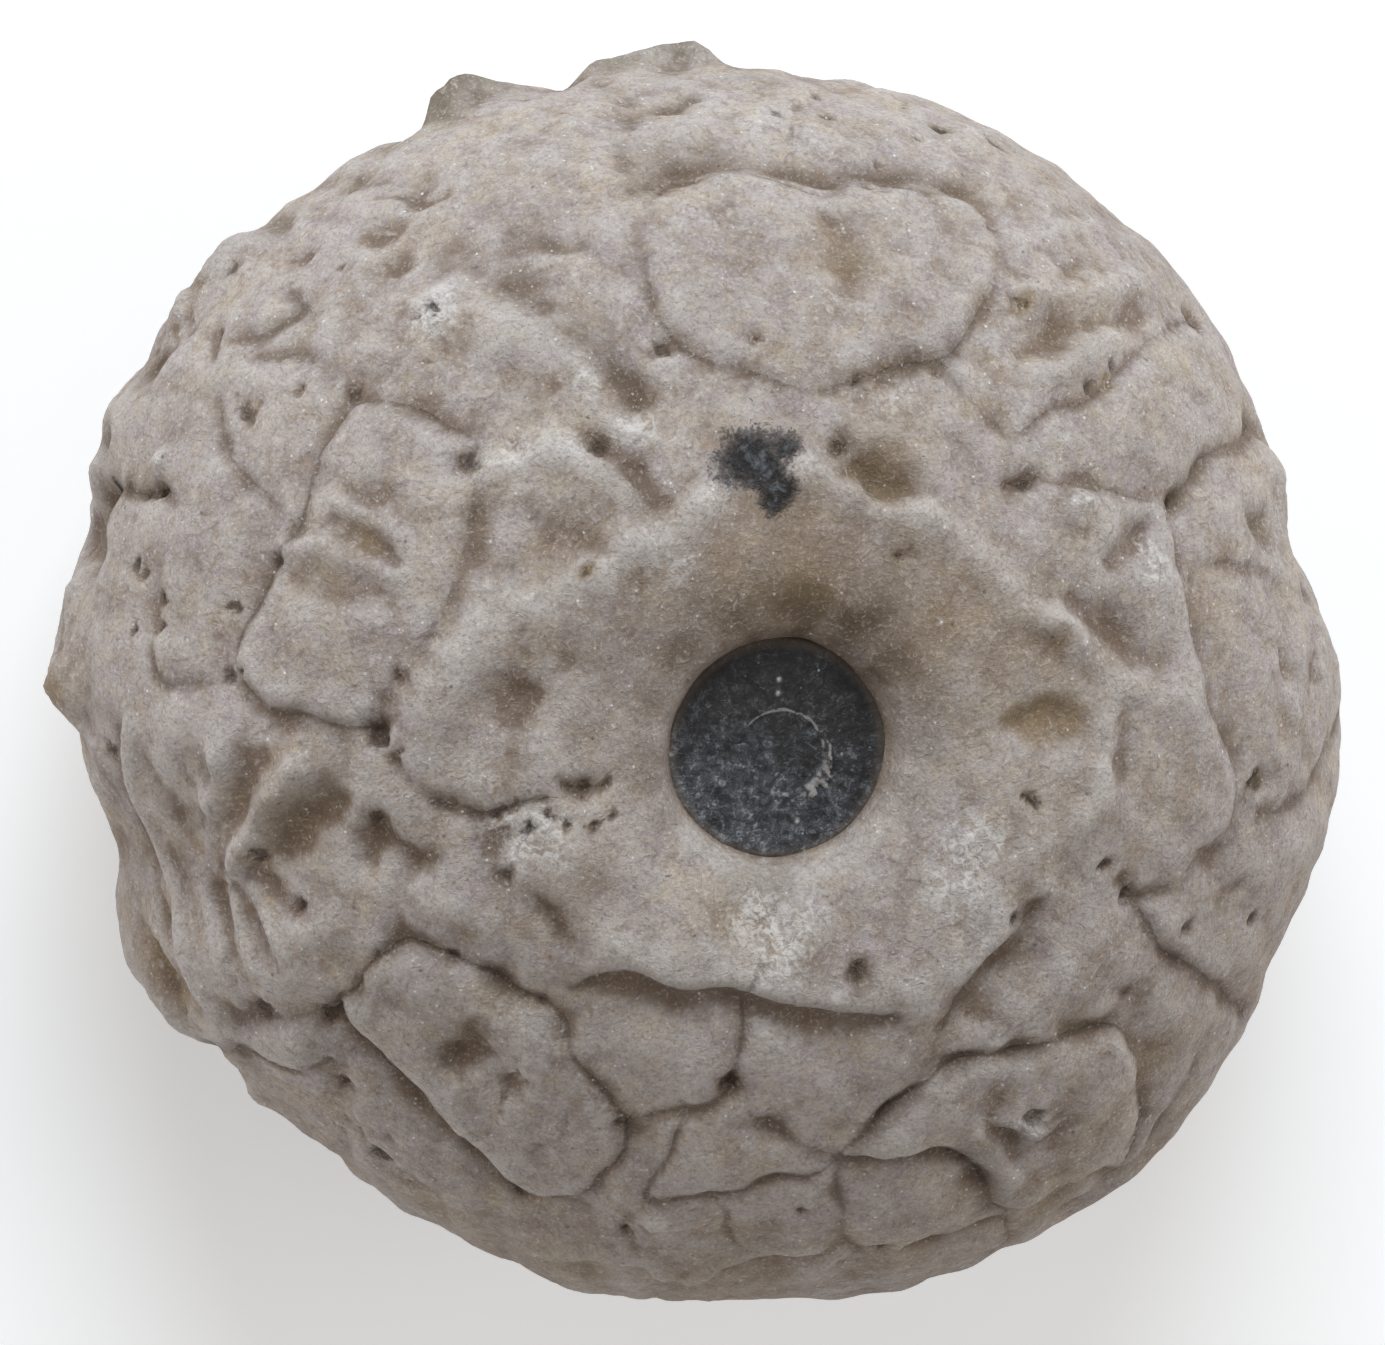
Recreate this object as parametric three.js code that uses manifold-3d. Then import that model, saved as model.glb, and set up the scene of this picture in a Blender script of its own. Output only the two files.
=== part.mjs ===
// Fossil crinoid calyx: the cup of fused plates, lying on its tegmen with the stem end up,
// and the dark last disc of the stem in its socket. Millimetres, +Z up along the stem axis.
import * as THREE from 'three';
import { mergeVertices } from 'three/addons/utils/BufferGeometryUtils.js';
import Module from 'manifold-3d';

// Driving dimensions of the body.
const CUP_RADIUS = 19.2; // mean radius at the widest level
const CUP_HEIGHT = 15.5; // widest level up to the stem end, were it not sunk
const TEGMEN_HEIGHT = 9.5; // widest level down to the crown of the tegmen
const REST_DROP = 8.7; // widest level down to the flat patch it rests on
const ROUNDNESS = 2.1; // exponent of the section: 2 is an ellipse, more is boxier
const DISH_DEPTH = 1.1; // the stem end is sunk in a wide shallow dish
const DISH_REACH = 6.6; // plan radius over which the dish opens
const THROAT_DEPTH = 1.4; // and in its middle a narrower throat with a steep wall
const THROAT_REACH = 4.5;
const THROAT_POWER = 4; // steepness of the throat's wall

// Driving dimensions of the stem disc and its socket.
const STEM_RADIUS = 3.35;
const STEM_THICKNESS = 1.2;
const SOCKET_GAP = 0.3;
const LUMEN_RADIUS = 1.25;
const LUMEN_DEPTH = 0.15;
const ROUND_STEPS = 40;

// Fineness of the body's mesh, and of the curves that seams follow.
const BODY_DETAIL = 20;
const DRAWN_UP = 0.15; // facets are drawn this far towards the stem end, in radians
const SEAM_STEP = 0.6;
const NARROWEST = 0.7; // least half width that the faceted body can show

// A seam is a crease in the middle of a wider and softer valley.
const CREASE = 0.33; // share of the seam's depth
const VALLEY = 0.45; // share of the seam's depth
const VALLEY_WIDTH = 3.4; // as a multiple of the seam's width
const REACH = 7; // past this many widths a seam has no effect
const STEP_WIDTH = 4; // how far a step reaches, as a multiple of the seam's width

// A pit's share of its depth that the faceted body shows, and how square its wall is.
const PIT_SHARE = 0.75;
const PIT_POWER = 2.5;

// Lobes and notches of the rim: azimuth and half width in degrees, height in millimetres.
const RIM_LOBES = [
  [312, 32, 1.7], [352, 22, 0.9], [150, 16, 0.65], [180, 12, 0.7], [208, 9, 0.5], [224, 9, -0.5],
  [245, 14, -0.3], [24, 16, -0.3], [90, 18, -0.4], [195, 6, -0.5], [34, 14, 0.4], [190, 8, -0.45],
  [257, 10, 0.4], [287, 10, 0.3], [311, 7, 0.25], [335, 8, -0.35],
];

// Seams between plates. Points are [azimuth, colatitude] in degrees, seen from the body's centre,
// with colatitude 0 at the stem end. Depth, width and step are in millimetres; with a step, the
// side to the left of the seam's direction, seen from outside, stands higher.
const SEAMS = [
  { name: 'north plate', closed: true, depth: 0.5, width: 0.4, step: -0.2, at: [
    [98, 64.5], [95, 65], [91, 65.5], [87, 64.5], [83, 63], [81, 62.5], [79, 64.5], [76, 65.5],
    [72, 66], [68, 66.5], [65, 65.5], [62.5, 63], [61.5, 60], [61, 56.5], [62, 53], [63, 49.5],
    [65, 47], [70, 45], [75, 42.5], [80, 40.5], [84, 40], [93, 41.5], [99.5, 43.5], [103, 45.5],
    [104.6, 49.5], [104.2, 53], [103, 57], [101.3, 61]] },
  { name: 'west plate', closed: true, depth: 0.55, width: 0.4, step: -0.25, at: [
    [139, 58.5], [136, 54], [134, 47], [140, 43.5], [146, 41], [152, 40], [158, 40], [163, 41],
    [167, 42], [171, 43], [176, 44], [175.8, 47], [175.6, 50], [175, 54], [173.5, 57.3], [171.5, 58.7],
    [168.5, 59], [164, 58.5], [159, 57.5], [154, 57], [149, 57.8], [145, 59]] },
  { name: 'southwest plate', closed: true, depth: 0.7, width: 0.4, step: -0.35, at: [
    [211.3, 56.5], [210.6, 53.5], [208.6, 51], [207.8, 49], [207.2, 45.6], [209, 43.8], [212, 42.3],
    [215.5, 41], [220, 40], [226.5, 38.7], [231.5, 39], [236.5, 41], [240, 42.5], [246, 44.3],
    [249.5, 46], [250.5, 49], [250.5, 52], [249.5, 56], [247, 60], [243.5, 61.5], [235.5, 59.3],
    [230, 59], [222.5, 58.3], [217, 58]] },
  { name: 'southeast plate', closed: true, depth: 0.6, width: 0.35, step: -0.25, at: [
    [279.5, 47.8], [281.5, 46.5], [284, 45.3], [287.5, 43], [291.5, 41.7], [296, 41], [301.5, 41.2],
    [305, 42.2], [310, 45], [314.5, 47.3], [318.3, 49.5], [319.5, 51.5], [319, 55], [316.5, 60],
    [312.5, 67], [309, 70], [307, 67], [304, 66.3], [300.5, 65], [298.5, 64], [297, 62.5],
    [296.3, 58.5], [296.3, 55], [293.5, 51.5], [289.5, 50], [283.5, 49]] },
  { name: 'east plate', depth: 0.45, width: 0.35, step: -0.3, at: [
    [48, 39], [45, 41], [41, 42.5], [36, 46], [32.5, 48.5], [29, 51.5], [25, 51.5], [20, 50.3],
    [12, 49], [8, 49], [3, 49.5], [359, 51.5], [354, 53], [351, 53.7], [347, 53], [343, 50.5],
    [338, 47.5], [335, 44.5], [337, 42]] },
  { name: 'east foot', depth: 0.4, width: 0.3, step: 0.2, at: [
    [335, 44.5], [332.5, 47.5], [330.5, 50.5], [329.7, 55], [329.6, 58.5], [329.2, 62], [328.6, 66],
    [328, 73]] },
  { name: 'east upper', depth: 0.55, width: 0.35, step: 0.2, at: [
    [27.5, 53], [28, 57], [28.5, 62], [27, 68], [25.5, 76]] },
  { name: 'east middle', depth: 0.3, width: 0.3, step: 0.15, at: [
    [18, 51], [18, 55], [16.5, 59], [13, 65], [9.5, 70], [8, 75]] },
  { name: 'east lower', depth: 0.45, width: 0.4, step: 0.1, at: [
    [351, 54.5], [349.5, 58], [349, 61], [351, 66], [354.5, 73], [356, 80]] },
  { name: 'northeast', depth: 0.28, width: 0.3, at: [
    [51, 43], [48.5, 48], [45, 51.5], [43.5, 55], [42.5, 60], [41, 66], [39, 72], [37, 77]] },
  { name: 'northeast near', depth: 0.3, width: 0.35, at: [[64, 46], [60, 44], [52, 43], [49, 39]] },
  { name: 'north valley', depth: 0.65, width: 0.5, at: [
    [102, 64.8], [97.5, 66.4], [94.3, 66.8], [90, 66.5], [86, 65.8], [82.5, 65.4], [80, 65.3],
    [77, 66.4], [73, 67.4], [71.5, 68.1], [68, 68], [65.5, 67], [63.5, 65.5]] },
  { name: 'north rim', depth: 0.2, width: 0.15, at: [[84, 67], [84, 72], [82.5, 77]] },
  { name: 'north rim left', depth: 0.45, width: 0.5, at: [[101, 65], [101, 71], [97, 77], [92, 79.5]] },
  { name: 'northwest fold', depth: 0.5, width: 0.8, at: [
    [122, 64], [119, 59.5], [117, 56], [114, 52], [112, 47], [111.5, 43]] },
  { name: 'northwest short fold', depth: 0.45, width: 0.5, at: [[116, 63], [112, 60.5], [108, 59.5]] },
  { name: 'northwest upper fold', depth: 0.35, width: 0.6, at: [[132, 67.5], [129, 67.5], [126, 69.5]] },
  { name: 'northwest side', depth: 0.45, width: 0.35, step: -0.25, at: [
    [134.5, 78], [135.5, 75], [136, 72.5], [138, 72.5], [140, 73.3], [142, 75]] },
  { name: 'northwest corner', depth: 0.25, width: 0.4, at: [[136, 71], [138, 66], [140.5, 61]] },
  { name: 'northwest small plate', depth: 0.3, width: 0.35, at: [
    [134, 46], [127, 42], [121, 39.5], [118.7, 36], [118, 33.2], [117.3, 31.5], [114.5, 31.2]] },
  { name: 'two-pit plate', depth: 0.4, width: 0.4, at: [
    [139, 66], [141, 70], [144, 73], [148, 72], [151, 69], [152, 66], [153, 62.5], [154, 58]] },
  { name: 'west rim curl', depth: 0.35, width: 0.2, at: [
    [143, 79], [144.5, 77], [145.2, 75.5], [144.5, 74], [143, 73.3]] },
  { name: 'west rim plate', depth: 0.25, width: 0.35, at: [
    [168, 71], [170.5, 70], [174, 68.5], [175, 66], [174, 63], [173, 60]] },
  { name: 'west rim crack', depth: 0.45, width: 0.25, at: [
    [161.5, 88], [160, 82], [159, 78.5], [158, 74]] },
  { name: 'southwest edge', depth: 0.4, width: 0.4, at: [
    [178, 72], [181, 74], [186, 76], [191, 77], [198, 76.5], [204, 75], [209, 72]] },
  { name: 'southwest foot', depth: 0.45, width: 0.5, at: [
    [210, 68.5], [211, 65], [211.5, 61], [212, 57.5]] },
  { name: 'southwest low crease', depth: 0.35, width: 0.2, at: [
    [214.5, 74], [216, 71], [218, 68.5], [218.3, 66], [218, 63]] },
  { name: 'southwest notch', depth: 0.5, width: 0.5, at: [[214, 73], [214.5, 79], [215.5, 87]] },
  { name: 'west small plate', depth: 0.4, width: 0.35, at: [
    [177.5, 44], [180, 42], [184, 39.5], [187, 37], [189.5, 34.5]] },
  { name: 'west inner edge', depth: 0.3, width: 0.5, at: [
    [160, 39.5], [157, 35.5], [161, 32], [170, 30.5]] },
  { name: 'crust crack', depth: 0.35, width: 0.2, at: [
    [187, 38.5], [189.5, 36], [189.5, 33], [189, 30], [188.5, 27]] },
  { name: 'southwest basal', depth: 0.3, width: 0.6, at: [
    [196, 33], [203, 34], [210, 31], [216, 30.5], [224, 33], [228.5, 35.5]] },
  { name: 'south step', depth: 0.4, width: 0.3, step: 0.75, at: [
    [228.5, 35], [229.5, 32.3], [232, 30.3], [236, 29.2], [242, 28.4], [249.5, 27.6], [256, 26.8],
    [263.5, 26.9], [271, 27.6], [279, 29.1], [287, 30.3], [292.5, 31.6]] },
  { name: 'southeast step', depth: 0.6, width: 0.45, step: 0.65, at: [
    [300.5, 36], [302.5, 34.8], [305.5, 33.8], [310, 32.9], [316.5, 32.8], [321, 33], [325.5, 33.4]] },
  { name: 'south middle', depth: 0.25, width: 0.2, at: [
    [261.5, 23], [261, 26], [261.5, 30], [262, 34], [262.5, 38]] },
  { name: 'south left foot', depth: 0.4, width: 0.3, at: [
    [263, 39], [259, 40.5], [256, 41.5], [252.5, 43.5], [249.5, 45.5]] },
  { name: 'south right foot', depth: 0.35, width: 0.4, at: [
    [263, 39], [267, 42], [271, 43.7], [275, 45.3], [279, 47.5]] },
  { name: 'south low middle', depth: 0.3, width: 0.2, at: [
    [256, 42], [257, 46], [256, 50], [256.3, 54.5]] },
  { name: 'south low', depth: 0.3, width: 0.25, at: [
    [257, 54.3], [261, 53.3], [265, 52.3], [268, 51.3], [270, 50.3], [273, 50], [276, 49.6], [279, 48]] },
  { name: 'square plate left', depth: 0.35, width: 0.3, at: [
    [279.3, 48.5], [279.7, 53.5], [280, 57.5], [281, 61.5], [283, 64.5]] },
  { name: 'square plate foot', depth: 0.4, width: 0.35, at: [
    [283, 65], [287.5, 64.5], [293.5, 65.5], [297, 66]] },
  { name: 'square plate right', depth: 0.35, width: 0.25, at: [[297, 63], [297.5, 66], [297, 73]] },
  { name: 'southeast rim band', depth: 0.35, width: 0.5, at: [
    [324, 64], [321, 67], [316, 69.5], [311, 72], [304, 71.5]] },
  { name: 'low south row', depth: 0.4, width: 0.4, step: 0.15, at: [
    [232, 84], [240, 82], [249, 83], [258, 81.5], [267, 83], [276, 81.5], [284, 82], [293, 80.5],
    [302, 81.5], [311, 80], [320, 81], [330, 79.5], [339, 81]] },
  { name: 'first low south seam', depth: 0.4, width: 0.35, at: [
    [249, 83], [251, 88], [249, 93], [251, 99]] },
  { name: 'second low south seam', depth: 0.4, width: 0.35, at: [
    [276, 81.5], [274, 87], [277, 93], [275, 99]] },
  { name: 'third low south seam', depth: 0.4, width: 0.35, at: [
    [302, 81.5], [304, 87], [302, 93], [304, 99]] },
  { name: 'fourth low south seam', depth: 0.4, width: 0.35, at: [
    [330, 79.5], [328, 86], [330, 92], [328, 98]] },
  { name: 'lowest south row', depth: 0.3, width: 0.35, at: [
    [250, 92], [258, 93.5], [267, 92], [277, 93], [286, 92], [295, 93.5], [302, 93]] },
];

// Ridges, with the same kind of points as the seams: height and width in millimetres.
const RIDGES = [
  { name: 'east crest', height: 0.3, width: 0.7, at: [
    [86, 31], [80, 29.8], [75, 29.6], [68, 29.8], [60, 30.2], [50, 30.2], [40, 30.2], [30, 31],
    [24, 33], [20, 34.5]] },
  { name: 'east low crest', height: 0.25, width: 0.6, at: [
    [22, 33.5], [18, 35.5], [12, 38.5], [7, 42.5], [4, 46]] },
  { name: 'funnel edge', height: 0.2, width: 0.6, at: [
    [8, 38], [3, 36], [358, 35], [352, 34.5], [345, 33]] },
  { name: 'west crest', height: 0.35, width: 0.85, at: [
    [158, 38], [152, 34.5], [146, 32], [139, 30], [131, 28.8], [123, 28.3], [115, 28.5], [108, 29.5]] },
  { name: 'south crest', height: 0.35, width: 1.3, at: [
    [196, 26], [208, 27], [222, 27.5], [240, 26], [256, 24.5], [272, 25.5], [288, 28], [300, 30],
    [312, 29], [324, 28], [338, 31], [350, 34]] },
  { name: 'southwest edge ridge', height: 0.35, width: 0.5, at: [
    [180, 71.5], [184, 73], [190, 74.3], [196, 73.5], [200, 72.2], [204, 71.7], [209, 71.5]] },
  { name: 'slanting ridge', height: 0.5, width: 0.5, at: [
    [193.8, 62], [189.5, 58], [186, 55], [182.5, 52]] },
  { name: 'middle ridge', height: 0.3, width: 0.4, at: [[187, 63], [184, 60.5], [181, 60]] },
  { name: 'first rib', height: 0.2, width: 0.25, at: [
    [195.5, 64.3], [198.5, 63.5], [202, 62.8], [205, 62.5]] },
  { name: 'second rib', height: 0.2, width: 0.25, at: [[197, 60.8], [200.5, 59.3], [203.5, 58]] },
  { name: 'third rib', height: 0.15, width: 0.25, at: [[198.5, 67.8], [202, 67], [205, 67]] },
  { name: 'northwest ridge', height: 0.35, width: 0.7, at: [[126, 62], [123, 58], [119, 53], [116, 47]] },
  { name: 'south ripple', height: 0.25, width: 0.3, at: [
    [265, 68], [267, 64.5], [269.5, 62.5], [273, 61], [277, 61]] },
  { name: 'second south ripple', height: 0.2, width: 0.3, at: [[274, 70], [276, 66], [280, 62.5]] },
  { name: 'third south ripple', height: 0.25, width: 0.35, at: [
    [250, 71], [252, 67.5], [256, 64.5], [260, 64], [262.5, 67]] },
  { name: 'west hollow ridge', height: 0.25, width: 0.4, at: [
    [157, 57], [155.5, 53], [154.5, 49], [153.5, 44.5]] },
  { name: 'upper west ridge', height: 0.15, width: 0.4, at: [[150, 54], [149.5, 50], [149, 46]] },
  { name: 'lower west ridge', height: 0.15, width: 0.5, at: [[163, 54], [162, 50], [161, 46]] },
  { name: 'first northeast lump', height: 0.3, width: 0.5, at: [[57, 57.5], [53, 61], [49, 65], [46, 69]] },
  { name: 'second northeast lump', height: 0.25, width: 0.5, at: [[52, 50.5], [48.5, 55.5], [45.5, 60.5]] },
  { name: 'third northeast lump', height: 0.2, width: 0.45, at: [[60, 64], [56, 68], [52, 74]] },
  { name: 'northwest crest', height: 0.35, width: 0.5, at: [
    [136, 44.5], [132, 43.5], [128.5, 42.3], [124.8, 40.3], [122, 38], [120.3, 35.2], [120, 32.5]] },
  { name: 'east rim rib', height: 0.2, width: 0.3, at: [[5, 60], [1.5, 61.5], [359, 62.5]] },
  { name: 'southeast boss rib', height: 0.25, width: 0.35, at: [[297.5, 50], [298.5, 54], [299, 58]] },
];

// Round pits with steep walls: azimuth, colatitude, radius, depth.
const PITS = [
  [147, 68.3, 0.5, 0.35], [142.5, 65, 0.27, 0.4], [111.5, 42.5, 0.3, 0.15], [120, 39.7, 0.5, 0.6],
  [262.3, 38, 0.45, 0.6], [57.3, 56.3, 0.35, 0.5], [37.5, 76.5, 0.5, 0.6], [65, 45.5, 0.3, 0.2],
  [213, 58.5, 0.45, 0.6], [209.5, 65.5, 0.5, 0.5], [180, 42.3, 0.3, 0.3], [139.5, 60, 0.35, 0.35],
  [162, 87, 0.7, 1], [158.2, 75, 0.25, 0.4], [335.5, 43.8, 0.35, 0.35], [288.3, 25.3, 0.4, 0.35],
  [45.5, 40, 0.35, 0.35], [284, 63, 0.4, 0.4], [27.8, 54, 0.3, 0.35], [79.3, 34.2, 0.4, 0.6],
  [203, 33, 0.33, 0.4], [184.8, 24.6, 0.35, 0.5], [186.5, 23, 0.4, 0.6], [187.5, 21.2, 0.35, 0.5],
  [244, 62.3, 0.4, 0.4], [136.5, 46.3, 0.5, 0.5], [105.3, 46.3, 0.4, 0.45], [304.8, 51.3, 0.5, 0.5],
  [176, 44.3, 0.45, 0.5],
];

// Soft hollows between two points: azimuth, colatitude, azimuth, colatitude, radius, depth.
const HOLLOWS = [
  [127.5, 68.5, 126, 69, 0.45, 0.25], [92.5, 59.5, 91, 54, 0.7, 0.15], [48.3, 60, 45, 66, 0.5, 0.25],
  [27.3, 43.5, 28, 48.5, 0.55, 0.4], [2, 38, 354, 37, 0.6, 0.2], [199.5, 62, 204, 60, 0.5, 0.25],
  [184, 69, 189, 69.5, 0.6, 0.3], [195.5, 42, 195, 43.5, 0.6, 0.3],
  [166.5, 84.5, 168.5, 83.5, 0.5, 0.4], [148.7, 87, 147.5, 86, 0.6, 0.4],
  [155.5, 88.5, 157, 88, 0.5, 0.35], [202, 81, 209.5, 79.5, 0.6, 0.4], [11, 90, 12, 76, 1.5, 0.55],
  [165.3, 96, 166, 85, 0.9, 0.95], [183, 95, 182.8, 86, 1, 0.55], [213.5, 95, 213.3, 86, 1, 0.25],
  [217.3, 95, 217.3, 82, 0.9, 0.45], [232, 94, 232, 84, 1.3, 0.3], [149, 98, 149, 86, 0.7, 0.25],
  [102, 98, 103, 88, 0.7, 0.4], [117, 96, 117.5, 90, 0.6, 0.35], [78, 94, 78, 86, 1.2, 0.25],
  [212, 92, 213, 86, 0.5, 0.3], [191.3, 55.3, 185.7, 48.3, 0.75, 0.65],
  [181.5, 56.8, 188.3, 60, 0.6, 0.45], [184, 66, 183.5, 65, 0.77, 0.21],
  [187, 67.5, 190, 67, 0.77, 0.24], [190.5, 44.8, 194, 46.3, 0.6, 0.55],
  [183, 61.5, 183, 62, 0.77, 0.24], [188.5, 64.5, 190, 64, 0.64, 0.21],
  [196.5, 64.5, 195.5, 65, 0.77, 0.24], [197, 66.3, 202.5, 64.8, 0.45, 0.35],
  [195.5, 59.8, 199, 55.8, 0.5, 0.3], [203, 82, 206, 79, 1.03, 0.3], [207, 77, 209.5, 78, 0.77, 0.27],
  [74.5, 32.4, 64.5, 32.5, 0.65, 0.85], [96, 16, 62, 15, 1.01, 0.32], [5.8, 25.5, 4.2, 33.3, 0.6, 0.5],
  [24, 36.5, 10, 43, 0.9, 0.45], [131, 35, 137, 34, 1.29, 0.24], [147, 52.5, 146.5, 49.5, 0.6, 0.22],
  [152, 53, 152.3, 46.5, 0.45, 0.4], [159.5, 53, 158.3, 45, 0.8, 0.22],
  [225.5, 50.5, 223, 47, 0.64, 0.3], [225, 51, 226, 49, 0.65, 0.45], [232, 48.3, 233, 48, 0.65, 0.5],
  [241, 53, 243, 53, 1.29, 0.14], [54.7, 52, 50, 59.3, 0.6, 0.38], [54.5, 64.8, 52, 64, 0.6, 0.25],
  [18.5, 65, 16.8, 66, 0.64, 0.33], [3.5, 62, 3.5, 61, 0.64, 0.21], [3, 68, 2, 68.5, 0.71, 0.24],
  [340, 57.5, 336.5, 56.5, 0.77, 0.24], [345, 51.5, 343.5, 52, 0.77, 0.21],
  [324.5, 49, 322.5, 52.5, 0.71, 0.24], [320, 57, 317, 62, 0.77, 0.24],
  [266, 57.5, 267.5, 57, 1.16, 0.27], [269, 63.5, 277, 62.8, 0.71, 0.24],
  [256, 61, 257.5, 60.5, 0.9, 0.21], [80.3, 58, 79.7, 51.5, 0.6, 0.28], [85, 57, 86, 52, 0.77, 0.11],
  [127.5, 74, 124.3, 73, 0.5, 0.42], [121.5, 74.6, 120.5, 75.6, 0.75, 0.4],
  [299.5, 50.5, 301, 55, 0.57, 0.33], [306.5, 54, 305.5, 57, 0.64, 0.27],
  [302, 47, 303, 47.5, 0.77, 0.21], [312.5, 59, 313, 60, 0.77, 0.21], [164, 32, 170.5, 31, 0.9, 0.36],
  [226.5, 68.5, 227, 68, 0.77, 0.21], [233.5, 70, 235.5, 69.5, 0.57, 0.24],
  [221.5, 65.5, 220, 63.5, 0.57, 0.21], [133, 88, 131.5, 85.5, 0.64, 0.17],
  [143, 84.5, 144.5, 86, 0.9, 0.27], [126, 85, 124.5, 84, 0.77, 0.17], [287, 24.5, 288, 26, 0.64, 0.14],
  [197, 42, 199.5, 43, 0.77, 0.21], [22, 31.5, 20, 32.2, 0.51, 0.21], [120, 50, 124, 47.5, 0.9, 0.21],
  [112.5, 46, 111.5, 43, 0.9, 0.21], [186.5, 22, 190, 21, 0.77, 0.17], [212, 52, 214, 51, 0.9, 0.14],
  [118.5, 38.8, 117, 33, 0.5, 0.35], [150, 26.5, 157, 26.3, 0.5, 0.22],
  [209, 70, 210, 68.5, 0.51, 0.21], [210, 30.3, 217, 31.3, 0.4, 0.3], [355, 42, 352, 38, 1.42, 0.14],
  [268, 42.5, 273, 44, 0.57, 0.21], [100, 78, 96, 79, 1.16, 0.21], [329.5, 63, 330, 70, 0.64, 0.21],
  [60, 42, 52, 37, 1.16, 0.17], [164, 86, 167, 85, 0.77, 0.24], [178, 77, 181, 79, 0.9, 0.21],
  [256, 69.5, 254, 70, 0.64, 0.17],
];

// Rounded bumps between two points: azimuth, colatitude, azimuth, colatitude, radius, height.
const BUMPS = [
  [113, 92.5, 109.5, 91.6, 0.9, 0.95], [223, 94, 223, 86, 0.7, 0.3], [135.5, 94, 135.3, 88, 0.6, 0.25],
  [160, 94, 159.8, 88, 0.5, 0.2], [98, 93, 91, 93, 0.85, 0.6], [91.5, 93, 89.5, 93, 0.75, 0.5],
  [139, 93, 138.5, 88, 0.8, 0.35], [154.5, 94, 154, 88, 0.8, 0.25], [143.5, 89, 142, 88, 0.7, 0.5],
  [138, 88, 134.5, 88, 0.8, 0.4], [127, 60, 128, 60, 0.8, 0.35], [304, 52.5, 303.5, 53, 0.8, 0.5],
  [37.3, 42.3, 37, 42.5, 0.5, 0.5], [258, 56.7, 258.6, 56.7, 0.5, 0.4],
  [170.5, 38.5, 160, 35, 1.1, 0.6], [178, 87, 179, 84, 1, 0.6], [156, 87, 154, 85, 1, 0.35],
  [120, 83, 117, 81, 1.2, 0.25], [124, 54, 122, 51, 0.8, 0.25], [156, 75.5, 155, 75, 0.4, 0.35],
  [170, 88, 168, 86, 0.8, 0.3], [215.5, 64.3, 215, 64, 0.8, 0.35], [209, 82, 211, 80, 0.8, 0.3],
  [299.5, 62, 302, 63.5, 0.7, 0.3], [22, 73, 21, 76, 1.2, 0.3], [345, 62, 346, 70, 1.3, 0.3],
  [352, 78, 358, 80, 1.2, 0.3], [133, 40, 126, 37.5, 1.2, 0.25], [151, 29.6, 155, 28.6, 0.6, 0.2],
  [206, 60, 204, 57, 1, 0.2],
];

// The tegmen: rings of small plates around the middle one, the first ring holding PLATE_STEP.
const TEGMEN_RINGS = 4;
const PLATE_STEP = 6;
const RING_SPACING = 17; // degrees of colatitude between rings
const TEGMEN_SEAM = 0.35; // depth of the seams between these plates
const TEGMEN_SEAM_WIDTH = 0.5;
const TEGMEN_EDGE = 95; // colatitude where the tegmen's plates begin
const TEGMEN_BLEND = 12; // degrees over which they fade in

// The five rays at the rim, each with a pair of arm openings just under the widest level.
const RAYS = 5;
const FIRST_RAY = 84; // azimuth
const ARM_SPREAD = 9; // degrees of azimuth from a ray to either opening
const ARM_COLATITUDE = 103;
const ARM_RADIUS = 1.1;
const ARM_DEPTH = 0.9;
const ARM_LIP = 0.5;
const LIP_REACH = 2.2; // the lip's radius as a multiple of the opening's

// Low lumps of the whole surface.
const LUMP_HEIGHT = 0.1;
const WARP = 0.08;

const DEGREE = Math.PI / 180;

function direction(azimuth, colatitude) {
  return new THREE.Vector3().setFromSphericalCoords(1, colatitude * DEGREE, azimuth * DEGREE)
    .applyMatrix4(Z_UP);
}

// setFromSphericalCoords measures from +Y and turns from +Z, so this brings those to +Z and +X.
const Z_UP = new THREE.Matrix4().set(
  0, 0, 1, 0,
  1, 0, 0, 0,
  0, 1, 0, 0,
  0, 0, 0, 1,
);

// Difference of two azimuths in degrees, from -180 to 180.
function turn(a, b) {
  return THREE.MathUtils.euclideanModulo(a - b + 180, 360) - 180;
}

// Radius of the plain body at the rim.
function rimRadius(azimuth) {
  let radius = CUP_RADIUS;
  for (const [at, halfWidth, height] of RIM_LOBES) {
    radius += height * Math.exp(-((turn(azimuth, at) / halfWidth) ** 2));
  }
  return radius;
}

// Distance from the body's centre to its plain surface along a unit direction.
function bodyRadius(dir) {
  const azimuth = Math.atan2(dir.y, dir.x) / DEGREE;
  const across = Math.hypot(dir.x, dir.y) / rimRadius(azimuth);
  const along = Math.abs(dir.z) / (dir.z > 0 ? CUP_HEIGHT : TEGMEN_HEIGHT);
  return (across ** ROUNDNESS + along ** ROUNDNESS) ** (-1 / ROUNDNESS);
}

function onBody(azimuth, colatitude) {
  const dir = direction(azimuth, colatitude);
  return dir.multiplyScalar(bodyRadius(dir));
}

// A smooth run of points on the body through the ones given.
function surfaceCurve({ at, closed = false }) {
  const through = at.map(([azimuth, colatitude]) => onBody(azimuth, colatitude));
  const curve = new THREE.CatmullRomCurve3(through, closed, 'catmullrom', 0.5);
  return curve.getPoints(Math.ceil(curve.getLength() / SEAM_STEP));
}

const SEAM_CURVES = SEAMS.map((seam) => ({ ...seam, points: surfaceCurve(seam) }));
const RIDGE_CURVES = RIDGES.map((ridge) => ({ ...ridge, points: surfaceCurve(ridge) }));

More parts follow.
